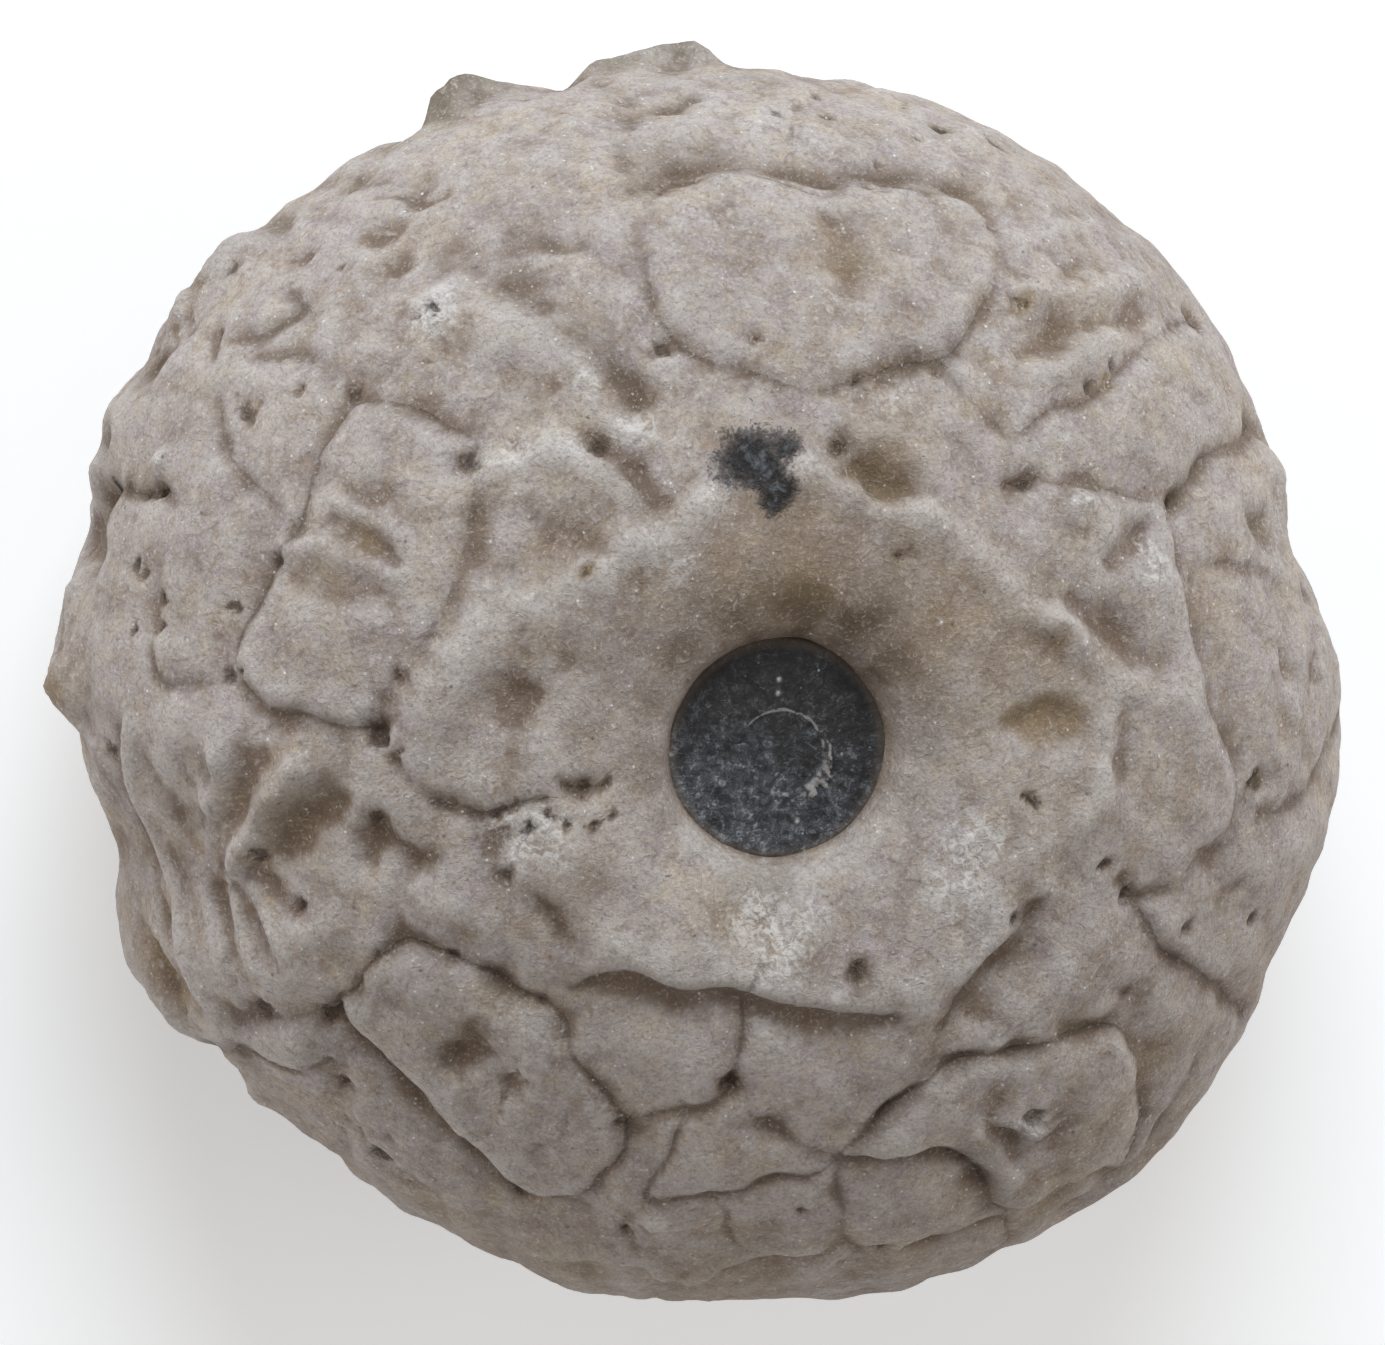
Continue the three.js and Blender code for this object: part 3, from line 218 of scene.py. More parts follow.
# Ridges, with the same kind of points as the seams: height and width in millimetres.
RIDGES = [
    dict(name="east crest", height=0.3, width=0.7, pale=0.5, at=[
        (86, 31), (80, 29.8), (75, 29.6), (68, 29.8), (60, 30.2), (50, 30.2), (40, 30.2), (30, 31),
        (24, 33), (20, 34.5)]),
    dict(name="east low crest", height=0.25, width=0.6, pale=0.25, at=[
        (22, 33.5), (18, 35.5), (12, 38.5), (7, 42.5), (4, 46)]),
    dict(name="funnel edge", height=0.2, width=0.6, pale=0.3, at=[
        (8, 38), (3, 36), (358, 35), (352, 34.5), (345, 33)]),
    dict(name="west crest", height=0.35, width=0.85, pale=0.45, at=[
        (158, 38), (152, 34.5), (146, 32), (139, 30), (131, 28.8), (123, 28.3), (115, 28.5),
        (108, 29.5)]),
    dict(name="south crest", height=0.35, width=1.3, at=[
        (196, 26), (208, 27), (222, 27.5), (240, 26), (256, 24.5), (272, 25.5), (288, 28), (300, 30),
        (312, 29), (324, 28), (338, 31), (350, 34)]),
    dict(name="southwest edge ridge", height=0.35, width=0.5, at=[
        (180, 71.5), (184, 73), (190, 74.3), (196, 73.5), (200, 72.2), (204, 71.7), (209, 71.5)]),
    dict(name="slanting ridge", height=0.5, width=0.5, at=[
        (193.8, 62), (189.5, 58), (186, 55), (182.5, 52)]),
    dict(name="middle ridge", height=0.3, width=0.4, at=[(187, 63), (184, 60.5), (181, 60)]),
    dict(name="first rib", height=0.2, width=0.25, at=[
        (195.5, 64.3), (198.5, 63.5), (202, 62.8), (205, 62.5)]),
    dict(name="second rib", height=0.2, width=0.25, at=[(197, 60.8), (200.5, 59.3), (203.5, 58)]),
    dict(name="third rib", height=0.15, width=0.25, at=[(198.5, 67.8), (202, 67), (205, 67)]),
    dict(name="northwest ridge", height=0.35, width=0.7, at=[
        (126, 62), (123, 58), (119, 53), (116, 47)]),
    dict(name="south ripple", height=0.25, width=0.3, at=[
        (265, 68), (267, 64.5), (269.5, 62.5), (273, 61), (277, 61)]),
    dict(name="second south ripple", height=0.2, width=0.3, at=[(274, 70), (276, 66), (280, 62.5)]),
    dict(name="third south ripple", height=0.25, width=0.35, at=[
        (250, 71), (252, 67.5), (256, 64.5), (260, 64), (262.5, 67)]),
    dict(name="west hollow ridge", height=0.25, width=0.4, at=[
        (157, 57), (155.5, 53), (154.5, 49), (153.5, 44.5)]),
    dict(name="upper west ridge", height=0.15, width=0.4, at=[(150, 54), (149.5, 50), (149, 46)]),
    dict(name="lower west ridge", height=0.15, width=0.5, at=[(163, 54), (162, 50), (161, 46)]),
    dict(name="first northeast lump", height=0.3, width=0.5, at=[
        (57, 57.5), (53, 61), (49, 65), (46, 69)]),
    dict(name="second northeast lump", height=0.25, width=0.5, at=[
        (52, 50.5), (48.5, 55.5), (45.5, 60.5)]),
    dict(name="third northeast lump", height=0.2, width=0.45, at=[(60, 64), (56, 68), (52, 74)]),
    dict(name="northwest crest", height=0.35, width=0.5, pale=0.5, at=[
        (136, 44.5), (132, 43.5), (128.5, 42.3), (124.8, 40.3), (122, 38), (120.3, 35.2), (120, 32.5)]),
    dict(name="east rim rib", height=0.2, width=0.3, at=[(5, 60), (1.5, 61.5), (359, 62.5)]),
    dict(name="southeast boss rib", height=0.25, width=0.35, at=[(297.5, 50), (298.5, 54), (299, 58)]),
]

# Round pits with steep walls: azimuth, colatitude, radius, depth.
PITS = [
    (147, 68.3, 0.5, 0.35), (142.5, 65, 0.27, 0.4), (111.5, 42.5, 0.3, 0.15), (120, 39.7, 0.5, 0.6),
    (262.3, 38, 0.45, 0.6), (57.3, 56.3, 0.35, 0.5), (37.5, 76.5, 0.5, 0.6), (65, 45.5, 0.3, 0.2),
    (213, 58.5, 0.45, 0.6), (209.5, 65.5, 0.5, 0.5), (180, 42.3, 0.3, 0.3), (139.5, 60, 0.35, 0.35),
    (162, 87, 0.7, 1.0), (158.2, 75, 0.25, 0.4), (335.5, 43.8, 0.35, 0.35), (288.3, 25.3, 0.4, 0.35),
    (45.5, 40, 0.35, 0.35), (284, 63, 0.4, 0.4), (27.8, 54, 0.3, 0.35), (79.3, 34.2, 0.4, 0.6),
    (203, 33, 0.33, 0.4), (184.8, 24.6, 0.3, 0.35), (186.5, 23, 0.35, 0.5), (187.7, 20.9, 0.3, 0.35),
    (244, 62.3, 0.4, 0.4), (136.5, 46.3, 0.5, 0.5), (105.3, 46.3, 0.4, 0.45), (304.8, 51.3, 0.5, 0.5),
    (176, 44.3, 0.45, 0.5),
]

# Small pits that only the fine surface shows: azimuth, colatitude, radius, depth.
FINE_PITS = [
    (352.5, 57, 0.36, 0.4), (339, 38.5, 0.24, 0.35), (161.5, 85.5, 0.65, 0.4), (158.3, 75.3, 0.2, 0.35),
    (158.8, 77, 0.16, 0.35), (322.5, 31.3, 0.26, 0.4), (136.5, 30.5, 0.17, 0.3),
    (59.5, 25.3, 0.17, 0.3), (57, 26.3, 0.14, 0.25), (347.5, 27.8, 0.2, 0.4), (77.5, 41.5, 0.22, 0.25),
    (92.5, 45.5, 0.2, 0.2), (131, 72.5, 0.18, 0.15), (132.5, 78, 0.22, 0.25), (137.5, 85, 0.3, 0.25),
    (85, 75, 0.28, 0.15), (80, 75, 0.2, 0.25), (80, 79.5, 0.2, 0.2), (75, 69, 0.2, 0.25),
    (70.5, 74, 0.15, 0.2), (68, 78.5, 0.3, 0.35), (62, 81, 0.3, 0.35), (76, 64, 0.25, 0.2),
    (74.5, 64, 0.16, 0.15), (165, 75, 0.25, 0.35), (165.5, 73.5, 0.22, 0.3), (171, 73, 0.2, 0.25),
    (167, 70, 0.22, 0.35), (169.5, 69.5, 0.2, 0.3), (158.5, 57.5, 0.3, 0.3), (165, 61, 0.28, 0.3),
    (172.5, 60, 0.3, 0.3), (172, 58, 0.2, 0.25), (192, 27, 0.2, 0.35), (194.5, 25.7, 0.22, 0.4),
    (197.5, 23, 0.2, 0.35), (197, 21, 0.16, 0.3), (195, 30, 0.2, 0.35), (190.5, 33, 0.18, 0.3),
    (46, 53, 0.2, 0.35), (44.5, 57, 0.16, 0.3), (193.3, 30, 0.18, 0.3), (194, 32, 0.15, 0.25),
    (178, 41.5, 0.2, 0.2), (199, 55.5, 0.25, 0.3), (193, 59, 0.3, 0.3), (183, 77, 0.35, 0.25),
    (334, 53, 0.28, 0.25), (337, 62.5, 0.24, 0.3), (282, 56, 0.18, 0.2), (293, 50.8, 0.15, 0.2),
    (295.5, 53.5, 0.2, 0.2), (294.5, 52.5, 0.14, 0.2), (226, 38.7, 0.22, 0.2),
    (256.5, 60.5, 0.25, 0.25), (127.3, 60, 0.22, 0.4), (129, 60.5, 0.14, 0.2), (131.5, 56.5, 0.17, 0.2),
    (323.5, 50, 0.22, 0.2), (316, 51.3, 0.2, 0.2), (230, 65.5, 0.18, 0.2), (230.5, 69.7, 0.4, 0.35),
    (262, 88, 0.3, 0.3), (265, 86.5, 0.2, 0.25), (290, 87, 0.25, 0.3), (313, 86, 0.3, 0.3),
    (316, 89, 0.2, 0.25), (241, 89, 0.25, 0.3), (322, 92, 0.25, 0.25), (285, 96, 0.25, 0.25),
    (345, 88, 0.25, 0.3), (2, 17, 0.1, 0.15), (274.7, 54.5, 0.25, 0.2), (43.7, 55, 0.2, 0.2),
    (207, 49.3, 0.2, 0.2), (212, 42.4, 0.22, 0.2), (177.3, 44.3, 0.35, 0.35), (167, 42, 0.25, 0.2),
    (189, 45, 0.3, 0.3), (269, 42.8, 0.2, 0.2), (221, 64.5, 0.3, 0.25), (248.5, 46, 0.25, 0.2),
    (22, 47, 0.15, 0.15),
]

# Soft hollows between two points: azimuth, colatitude, azimuth, colatitude, radius, depth.
HOLLOWS = [
    (127.5, 68.5, 126, 69, 0.45, 0.25), (92.5, 59.5, 91, 54, 0.7, 0.15), (48.3, 60, 45, 66, 0.5, 0.25),
    (27.3, 43.5, 28, 48.5, 0.55, 0.4), (2, 38, 354, 37, 0.6, 0.2), (199.5, 62, 204, 60, 0.5, 0.25),
    (184, 69, 189, 69.5, 0.6, 0.3), (195.5, 42, 195, 43.5, 0.6, 0.3),
    (166.5, 84.5, 168.5, 83.5, 0.5, 0.4), (148.7, 87, 147.5, 86, 0.6, 0.4),
    (155.5, 88.5, 157, 88, 0.5, 0.35), (202, 81, 209.5, 79.5, 0.6, 0.4), (11, 90, 12, 76, 1.5, 0.55),
    (165.3, 96, 166, 85, 0.9, 0.95), (183, 95, 182.8, 86, 1.0, 0.55), (213.5, 95, 213.3, 86, 1.0, 0.25),
    (217.3, 95, 217.3, 82, 0.9, 0.45), (232, 94, 232, 84, 1.3, 0.3), (149, 98, 149, 86, 0.7, 0.25),
    (102, 98, 103, 88, 0.7, 0.4), (117, 96, 117.5, 90, 0.6, 0.35), (78, 94, 78, 86, 1.2, 0.25),
    (212, 92, 213, 86, 0.5, 0.3), (191.3, 55.3, 185.7, 48.3, 0.75, 0.65),
    (181.5, 56.8, 188.3, 60, 0.6, 0.45), (184, 66, 183.5, 65, 0.77, 0.21),
    (187, 67.5, 190, 67, 0.77, 0.24), (190.5, 44.8, 194, 46.3, 0.6, 0.55),
    (183, 61.5, 183, 62, 0.77, 0.24), (188.5, 64.5, 190, 64, 0.64, 0.21),
    (196.5, 64.5, 195.5, 65, 0.77, 0.24), (197, 66.3, 202.5, 64.8, 0.45, 0.35),
    (195.5, 59.8, 199, 55.8, 0.5, 0.3), (203, 82, 206, 79, 1.03, 0.3), (207, 77, 209.5, 78, 0.77, 0.27),
    (74.5, 32.4, 64.5, 32.5, 0.65, 0.85), (96, 16, 62, 15, 1.01, 0.32),
    (5.8, 25.5, 4.2, 33.3, 0.6, 0.5), (24, 36.5, 10, 43, 0.9, 0.45), (131, 35, 137, 34, 1.29, 0.24),
    (147, 52.5, 146.5, 49.5, 0.6, 0.22), (152, 53, 152.3, 46.5, 0.45, 0.4),
    (159.5, 53, 158.3, 45, 0.8, 0.22), (225.5, 50.5, 223, 47, 0.64, 0.3),
    (225, 51, 226, 49, 0.65, 0.45), (232, 48.3, 233, 48, 0.65, 0.5), (241, 53, 243, 53, 1.29, 0.14),
    (54.7, 52, 50, 59.3, 0.6, 0.38), (54.5, 64.8, 52, 64, 0.6, 0.25), (18.5, 65, 16.8, 66, 0.64, 0.33),
    (3.5, 62, 3.5, 61, 0.64, 0.21), (3, 68, 2, 68.5, 0.71, 0.24), (340, 57.5, 336.5, 56.5, 0.77, 0.24),
    (345, 51.5, 343.5, 52, 0.77, 0.21), (324.5, 49, 322.5, 52.5, 0.71, 0.24),
    (320, 57, 317, 62, 0.77, 0.24), (266, 57.5, 267.5, 57, 1.16, 0.27),
    (269, 63.5, 277, 62.8, 0.71, 0.24), (256, 61, 257.5, 60.5, 0.9, 0.21),
    (80.3, 58, 79.7, 51.5, 0.6, 0.28), (85, 57, 86, 52, 0.77, 0.11), (127.5, 74, 124.3, 73, 0.5, 0.42),
    (121.5, 74.6, 120.5, 75.6, 0.75, 0.4), (299.5, 50.5, 301, 55, 0.57, 0.33),
    (306.5, 54, 305.5, 57, 0.64, 0.27), (302, 47, 303, 47.5, 0.77, 0.21),
    (312.5, 59, 313, 60, 0.77, 0.21), (164, 32, 170.5, 31, 0.9, 0.36),
    (226.5, 68.5, 227, 68, 0.77, 0.21), (233.5, 70, 235.5, 69.5, 0.57, 0.24),
    (221.5, 65.5, 220, 63.5, 0.57, 0.21), (133, 88, 131.5, 85.5, 0.64, 0.17),
    (143, 84.5, 144.5, 86, 0.9, 0.27), (126, 85, 124.5, 84, 0.77, 0.17),
    (287, 24.5, 288, 26, 0.64, 0.14), (197, 42, 199.5, 43, 0.77, 0.21),
    (22, 31.5, 20, 32.2, 0.51, 0.21), (120, 50, 124, 47.5, 0.9, 0.21),
    (112.5, 46, 111.5, 43, 0.9, 0.21), (186.5, 22, 190, 21, 0.77, 0.17), (212, 52, 214, 51, 0.9, 0.14),
    (118.5, 38.8, 117, 33, 0.5, 0.35), (150, 26.5, 157, 26.3, 0.5, 0.22),
    (209, 70, 210, 68.5, 0.51, 0.21), (210, 30.3, 217, 31.3, 0.4, 0.3), (355, 42, 352, 38, 1.42, 0.14),
    (268, 42.5, 273, 44, 0.57, 0.21), (100, 78, 96, 79, 1.16, 0.21), (329.5, 63, 330, 70, 0.64, 0.21),
    (60, 42, 52, 37, 1.16, 0.17), (164, 86, 167, 85, 0.77, 0.24), (178, 77, 181, 79, 0.9, 0.21),
    (256, 69.5, 254, 70, 0.64, 0.17),
]

# Rounded bumps between two points: azimuth, colatitude, azimuth, colatitude, radius, height.
BUMPS = [
    (113, 92.5, 109.5, 91.6, 0.9, 0.95), (223, 94, 223, 86, 0.7, 0.3),
    (135.5, 94, 135.3, 88, 0.6, 0.25), (160, 94, 159.8, 88, 0.5, 0.2), (98, 93, 89.8, 93, 0.8, 0.55),
    (90.5, 93.2, 88.6, 93.2, 0.6, 0.4), (139, 93, 138.5, 88, 0.8, 0.35),
    (154.5, 94, 154, 88, 0.8, 0.25), (143.5, 89, 142, 88, 0.7, 0.5), (138, 88, 134.5, 88, 0.8, 0.4),
    (127, 60, 128, 60, 0.8, 0.35), (304, 52.5, 303.5, 53, 0.8, 0.5), (37.3, 42.3, 37, 42.5, 0.5, 0.5),
    (258, 56.7, 258.6, 56.7, 0.5, 0.4), (170.5, 38.5, 160, 35, 1.1, 0.6), (178, 87, 179, 84, 1.0, 0.6),
    (156, 87, 154, 85, 1.0, 0.35), (120, 83, 117, 81, 1.2, 0.25), (124, 54, 122, 51, 0.8, 0.25),
    (156, 75.5, 155, 75, 0.4, 0.35), (170, 88, 168, 86, 0.8, 0.3), (215.5, 64.3, 215, 64, 0.8, 0.35),
    (209, 82, 211, 80, 0.8, 0.3), (299.5, 62, 302, 63.5, 0.7, 0.3), (22, 73, 21, 76, 1.2, 0.3),
    (345, 62, 346, 70, 1.3, 0.3), (352, 78, 358, 80, 1.2, 0.3), (133, 40, 126, 37.5, 1.2, 0.25),
    (151, 29.6, 155, 28.6, 0.6, 0.2), (206, 60, 204, 57, 1.0, 0.2),
]

# Stains and crusts on the plates, with painted shade and highlight among them: azimuth, colatitude,
# radius, strength.
OCHRE_STAINS = [
    (22, 27, 1.5, 0.45), (36, 22, 1.6, 0.4), (12, 24, 1.2, 0.35), (14, 31.5, 1.0, 0.4),
    (55, 22, 1.2, 0.3), (8, 26, 0.6, 0.9), (6.5, 29.5, 0.8, 1.0), (5, 33, 0.6, 0.9), (10, 32, 0.6, 0.6),
    (69, 33.5, 1.3, 0.6), (152, 50, 0.6, 0.6), (157.5, 52, 0.7, 0.5), (188, 53, 1.3, 0.5),
    (186, 60, 0.7, 0.5), (153, 29, 0.6, 0.35), (131, 34, 1.0, 0.3), (21, 32, 0.45, 0.8),
    (80, 55, 1.2, 0.4), (178.5, 84.5, 0.9, 0.7), (166, 85, 0.7, 0.6), (204, 81, 1.1, 0.8),
    (208, 78, 0.8, 0.6), (248, 20.5, 0.5, 0.5), (193, 59, 0.3, 0.8), (57, 56.5, 0.4, 1.0),
    (43.5, 55, 0.35, 0.8), (352.5, 57, 0.4, 0.5), (136.5, 30.5, 0.25, 1.0), (37, 25, 2.0, 0.5),
    (85, 21, 2.2, 0.6), (105, 22, 1.6, 0.4), (28, 29, 1.2, 0.4), (192, 67, 0.25, 0.9),
    (296.5, 50.5, 0.3, 0.8), (233, 32, 1.0, 0.3), (206, 27, 1.6, 0.3), (50, 62, 1.5, 0.3),
    (121, 66, 1.0, 0.3), (270, 67, 3.0, 0.5), (302, 66, 2.4, 0.5), (310, 60, 2.0, 0.4),
    (286, 64, 2.4, 0.4), (253, 69, 2.5, 0.45), (321, 60, 1.6, 0.35), (240, 72, 2.0, 0.35),
]

PALE_CRUSTS = [
    (127.3, 59.8, 1.0, 0.9), (117, 45, 0.6, 0.9), (113.5, 39.5, 0.7, 0.9), (104, 29.5, 1.0, 0.6),
    (86, 32, 0.8, 0.6), (37.3, 42.5, 0.5, 0.8), (23, 46.3, 0.7, 0.9), (37, 30, 0.6, 0.5),
    (29, 31.3, 0.7, 0.5), (61, 30, 0.7, 0.45), (130, 43, 1.2, 0.6), (124, 41, 0.9, 0.5),
    (196, 29, 1.5, 0.8), (190, 32, 1.0, 0.7), (184, 33, 0.9, 0.7), (258, 19, 1.2, 0.7),
    (268, 21, 1.4, 0.8), (280, 19, 1.0, 0.6), (333, 23, 1.4, 0.8), (322, 24, 1.6, 0.7),
    (315, 28, 1.2, 0.5), (306, 30, 1.2, 0.4), (120, 26, 1.3, 0.6), (132, 28, 1.0, 0.4),
    (44, 46, 1.6, 0.4), (36, 44, 1.0, 0.5), (58, 48, 1.4, 0.4), (72, 41, 1.2, 0.5), (25, 47, 0.9, 0.6),
    (155.5, 75, 0.4, 0.9), (310, 41, 1.6, 0.5), (322, 41, 1.4, 0.5), (334, 36, 1.0, 0.5),
    (333, 34, 0.9, 0.5), (303, 51.5, 0.6, 0.8), (258.5, 57, 0.5, 0.5), (108, 36, 1.0, 0.4),
    (265, 31, 1.0, 0.5), (226, 43, 1.4, 0.3), (86, 73, 1.6, 0.4),
]

OLIVE_STAINS = [
    (113, 92, 1.5, 0.9), (109, 92, 1.0, 0.7), (91, 94, 1.1, 1.0), (97, 93, 1.4, 0.7),
    (255, 16, 0.7, 0.5), (268, 16, 0.6, 0.6), (139, 90, 1.0, 0.5), (133, 87, 0.5, 0.6),
    (18, 65.5, 0.5, 0.7), (37, 75.5, 0.5, 0.8), (68, 78.5, 0.5, 0.6), (62, 81, 0.5, 0.7),
    (85, 84, 0.8, 0.4), (27.8, 55, 0.4, 0.6), (80, 75, 0.4, 0.5), (125, 85, 0.5, 0.5),
]

BLACK_CRUSTS = [
    (98, 33, 0.85, 1.0), (94.5, 32.3, 0.7, 1.0), (89, 34.2, 0.55, 0.75), (91.3, 29.2, 0.5, 0.95),
    (93, 31, 0.5, 0.9), (161, 84.6, 0.55, 0.8), (158, 76.6, 0.25, 0.6),
]

# Brown stains and painted shade: the ring on the stem disc's upper side, the north valley and the low
# south rim are shade painted in.
BROWN_STAINS_AND_SHADE = [
    (0, 15, 0.5, 0.4), (20, 15, 0.5, 0.6), (40, 15, 0.55, 0.8), (60, 15, 0.55, 0.9), (80, 15, 0.6, 0.9),
    (100, 15, 0.6, 0.9), (120, 15, 0.6, 0.8), (140, 15, 0.55, 0.7), (160, 15, 0.5, 0.5),
    (180, 15, 0.5, 0.5), (84, 17.6, 0.55, 0.9), (85, 16.5, 1.1, 0.9), (108, 16.5, 1.0, 0.7),
    (60, 16, 1.1, 0.8), (35, 15.5, 1.0, 0.7), (10, 15.5, 0.9, 0.5), (130, 16.5, 0.9, 0.4),
    (190, 16, 0.8, 0.6), (205, 16, 0.6, 0.5), (88, 20, 1.8, 0.5), (65, 19, 2.0, 0.5),
    (100, 22, 1.6, 0.3), (345, 15.5, 0.7, 0.4), (72.5, 32.3, 0.9, 0.9), (66.5, 32.5, 0.8, 0.8),
    (79.3, 34.3, 0.6, 0.8), (186.3, 23.3, 0.65, 0.45), (17, 40, 1.2, 0.4), (113, 93, 1.3, 0.6),
    (117, 31.3, 0.8, 0.5), (148.7, 87, 0.8, 0.8), (156, 88.5, 0.6, 0.7), (162, 87, 0.9, 0.9),
    (161, 84.3, 0.75, 1.3), (159.3, 80, 0.4, 1.2), (157.5, 75.7, 0.3, 1.0), (167.5, 84, 0.7, 0.6),
    (178, 84.5, 0.8, 0.6), (186, 79.5, 0.7, 0.6), (206, 80.5, 1.0, 0.7), (70, 25, 0.6, 0.5),
    (277, 22.8, 0.7, 0.5), (288.3, 25.3, 0.6, 0.9), (4.7, 31, 0.8, 0.35), (192.3, 45.5, 0.7, 0.6),
    (188.5, 52, 0.9, 0.5), (224.5, 46.8, 0.8, 0.5), (299, 52, 0.9, 0.6), (304.5, 54.5, 0.6, 0.5),
    (152.2, 49.5, 0.8, 0.5), (80, 55, 0.8, 0.5), (52, 56, 1.0, 0.5), (184, 49, 0.9, 0.4),
    (189, 54, 0.9, 0.5), (152, 50, 0.8, 0.4), (286.5, 25, 0.45, 0.7), (262.5, 38, 0.8, 0.4),
    (247, 20, 0.5, 0.5), (168, 31.3, 0.9, 0.1), (149, 25.3, 1.0, 0.45), (146, 22, 1.8, 0.45),
    (132, 22, 1.6, 0.45), (120, 20, 1.6, 0.5), (85, 17.5, 1.6, 1.0), (108, 17.2, 1.5, 0.85),
    (60, 17.5, 1.6, 0.95), (133, 17, 1.3, 0.75), (40, 17, 1.3, 0.8), (82, 18, 1.0, 1.2),
    (15, 16.5, 1.1, 0.6), (180, 16, 0.9, 0.55), (155, 17, 1.2, 0.5), (118, 36, 0.6, 0.5),
    (72, 68, 0.8, 0.5), (66, 67.3, 0.7, 0.5), (98, 68, 1.0, 0.5), (92, 68, 0.9, 0.4),
    (300, 53, 0.7, 0.5), (230, 52, 0.7, 0.4), (224, 49, 0.6, 0.4), (131, 34, 0.9, 0.4),
    (90, 25, 1.3, 0.5), (60, 24, 1.4, 0.5), (85, 28, 0.9, 0.6), (150, 19, 1.2, 0.4),
    (160, 27, 0.9, 0.2), (250, 82, 3.0, 0.4), (270, 82, 3.5, 0.4), (290, 80, 3.5, 0.45),
    (310, 76, 3.0, 0.4), (230, 84, 3.0, 0.35), (300, 70, 2.0, 0.3), (205, 82, 1.5, 0.3),
    (112, 94, 1.0, 0.4), (330, 72, 2.0, 0.2),
]

# Pale patches over the plates, mostly near the rim: partly pale dust and partly a painted highlight on
# the rim.
DUST_AND_HIGHLIGHT = [
    (90, 76, 4.0, 0.5), (68, 78, 4.0, 0.5), (112, 80, 3.0, 0.4), (355, 76, 3.5, 0.5),
    (12, 74, 3.0, 0.4), (340, 66, 2.5, 0.3), (250, 37, 2.0, 0.5), (268, 37, 1.6, 0.4),
    (226, 50, 3.0, 0.3), (50, 60, 3.0, 0.4), (188, 68, 3.0, 0.3), (30, 66, 3.0, 0.4),
    (135, 80, 3.0, 0.3), (205, 22, 1.6, 0.4), (225, 19, 1.4, 0.5), (240, 22, 1.6, 0.3),
    (0, 21, 1.6, 0.4), (345, 20, 1.6, 0.3), (120, 56, 2.0, 0.3), (20, 44, 2.0, 0.3),
    (152, 24, 1.2, 0.4), (5, 40, 1.5, 0.3), (195, 45, 1.5, 0.3), (170, 25, 1.5, 0.3),
]

# The mask that each of these lists drives.
STAINS = {
    "ochre": OCHRE_STAINS, "crust": PALE_CRUSTS, "olive": OLIVE_STAINS,
    "black": BLACK_CRUSTS, "brown_and_shade": BROWN_STAINS_AND_SHADE, "dust_and_highlight": DUST_AND_HIGHLIGHT,
}

# The tegmen: rings of small plates around the middle one, with their spacing and edge in degrees
# and their seams in millimetres.
TEGMEN_RINGS = 4
PLATE_STEP = 6
RING_SPACING = 17
TEGMEN_SEAM = 0.35
TEGMEN_SEAM_WIDTH = 0.5
TEGMEN_LINE_WIDTH = 0.2
TEGMEN_EDGE = 95
TEGMEN_BLEND = 12

# The five rays at the rim, each with a pair of arm openings just under the widest level.
RAYS = 5
FIRST_RAY = 84
ARM_SPREAD = 9
ARM_COLATITUDE = 103
ARM_RADIUS = 1
ARM_DEPTH = 0.9
ARM_LIP = 0.5
LIP_REACH = 2.2

# Low lumps all over, and the waves that push every mark a little sideways, in millimetres.
LUMP_HEIGHT = 0.1
WARP = 0.08

# The relief that's in this script alone, in millimetres. The folds are stronger below the edge.
BROAD_FOLD = 0.07
CLOSE_FOLD = 0.02
FOLD_GRAIN = 0.035
WRINKLE_HEIGHT = 0.03
FOLD_EDGE = 70
FOLD_BLEND = 8

# How the seams' grooves divide: a sharp line, the groove itself and a broad valley.
LINE_SHARE, GROOVE_SHARE, VALLEY_SHARE = 0.22, 0.33, 0.45
LINE_WIDTH = 0.17
VALLEY_WIDTHS = 3.4
FULL_DEPTH = 0.5
STEP_TAPER = 6

# A pit's floor: its part of the depth given, how steep its wall is, how deep one must be for the full
# painted shade in its colour, and how much paler the wide ones are painted, because they're shaded by
# their own walls.
PIT_SHARE = 0.75
PIT_POWER = 2.5
DARK_PIT = 0.35
WIDE_PIT_PALER = 0.3

# The socket that the stem's disc lies in, wider than it and with a sloping wall.
SOCKET_RADIUS = STEM_RADIUS + 0.28
SOCKET_WALL = 0.5
SOCKET_DEPTH = 0.9

# Blender's noise vectors start from the time of day unless they're seeded.
NOISE_SEED = 7
noise.seed_set(NOISE_SEED)


def direction(azimuth, colatitude):
    """The unit vector that points this way from the body's centre."""
    a = math.radians(azimuth)
    c = math.radians(colatitude)
    return np.array([math.sin(c) * math.cos(a), math.sin(c) * math.sin(a), math.cos(c)])


def turned(azimuth, start):
    """How far an azimuth is turned from another, from -180 to 180 degrees."""
    return (azimuth - start + 180) % 360 - 180


def bell(distance, width):
    """1 in the middle, and falling away smoothly over the width."""
    return np.exp(-((distance / width) ** 2))


def beyond(value, edge, blend):
    """0 below the edge and 1 above it, with a smooth change over about twice the blend."""
    return 1 / (1 + np.exp((edge - value) / blend))


def rim_radius(azimuth):
    """Radius of the plain body at the rim, in millimetres."""
    radius = CUP_RADIUS + 0 * azimuth
    for middle, half_width, height in RIM_LOBES:
        radius = radius + height * bell(turned(azimuth, middle), half_width)
    return radius


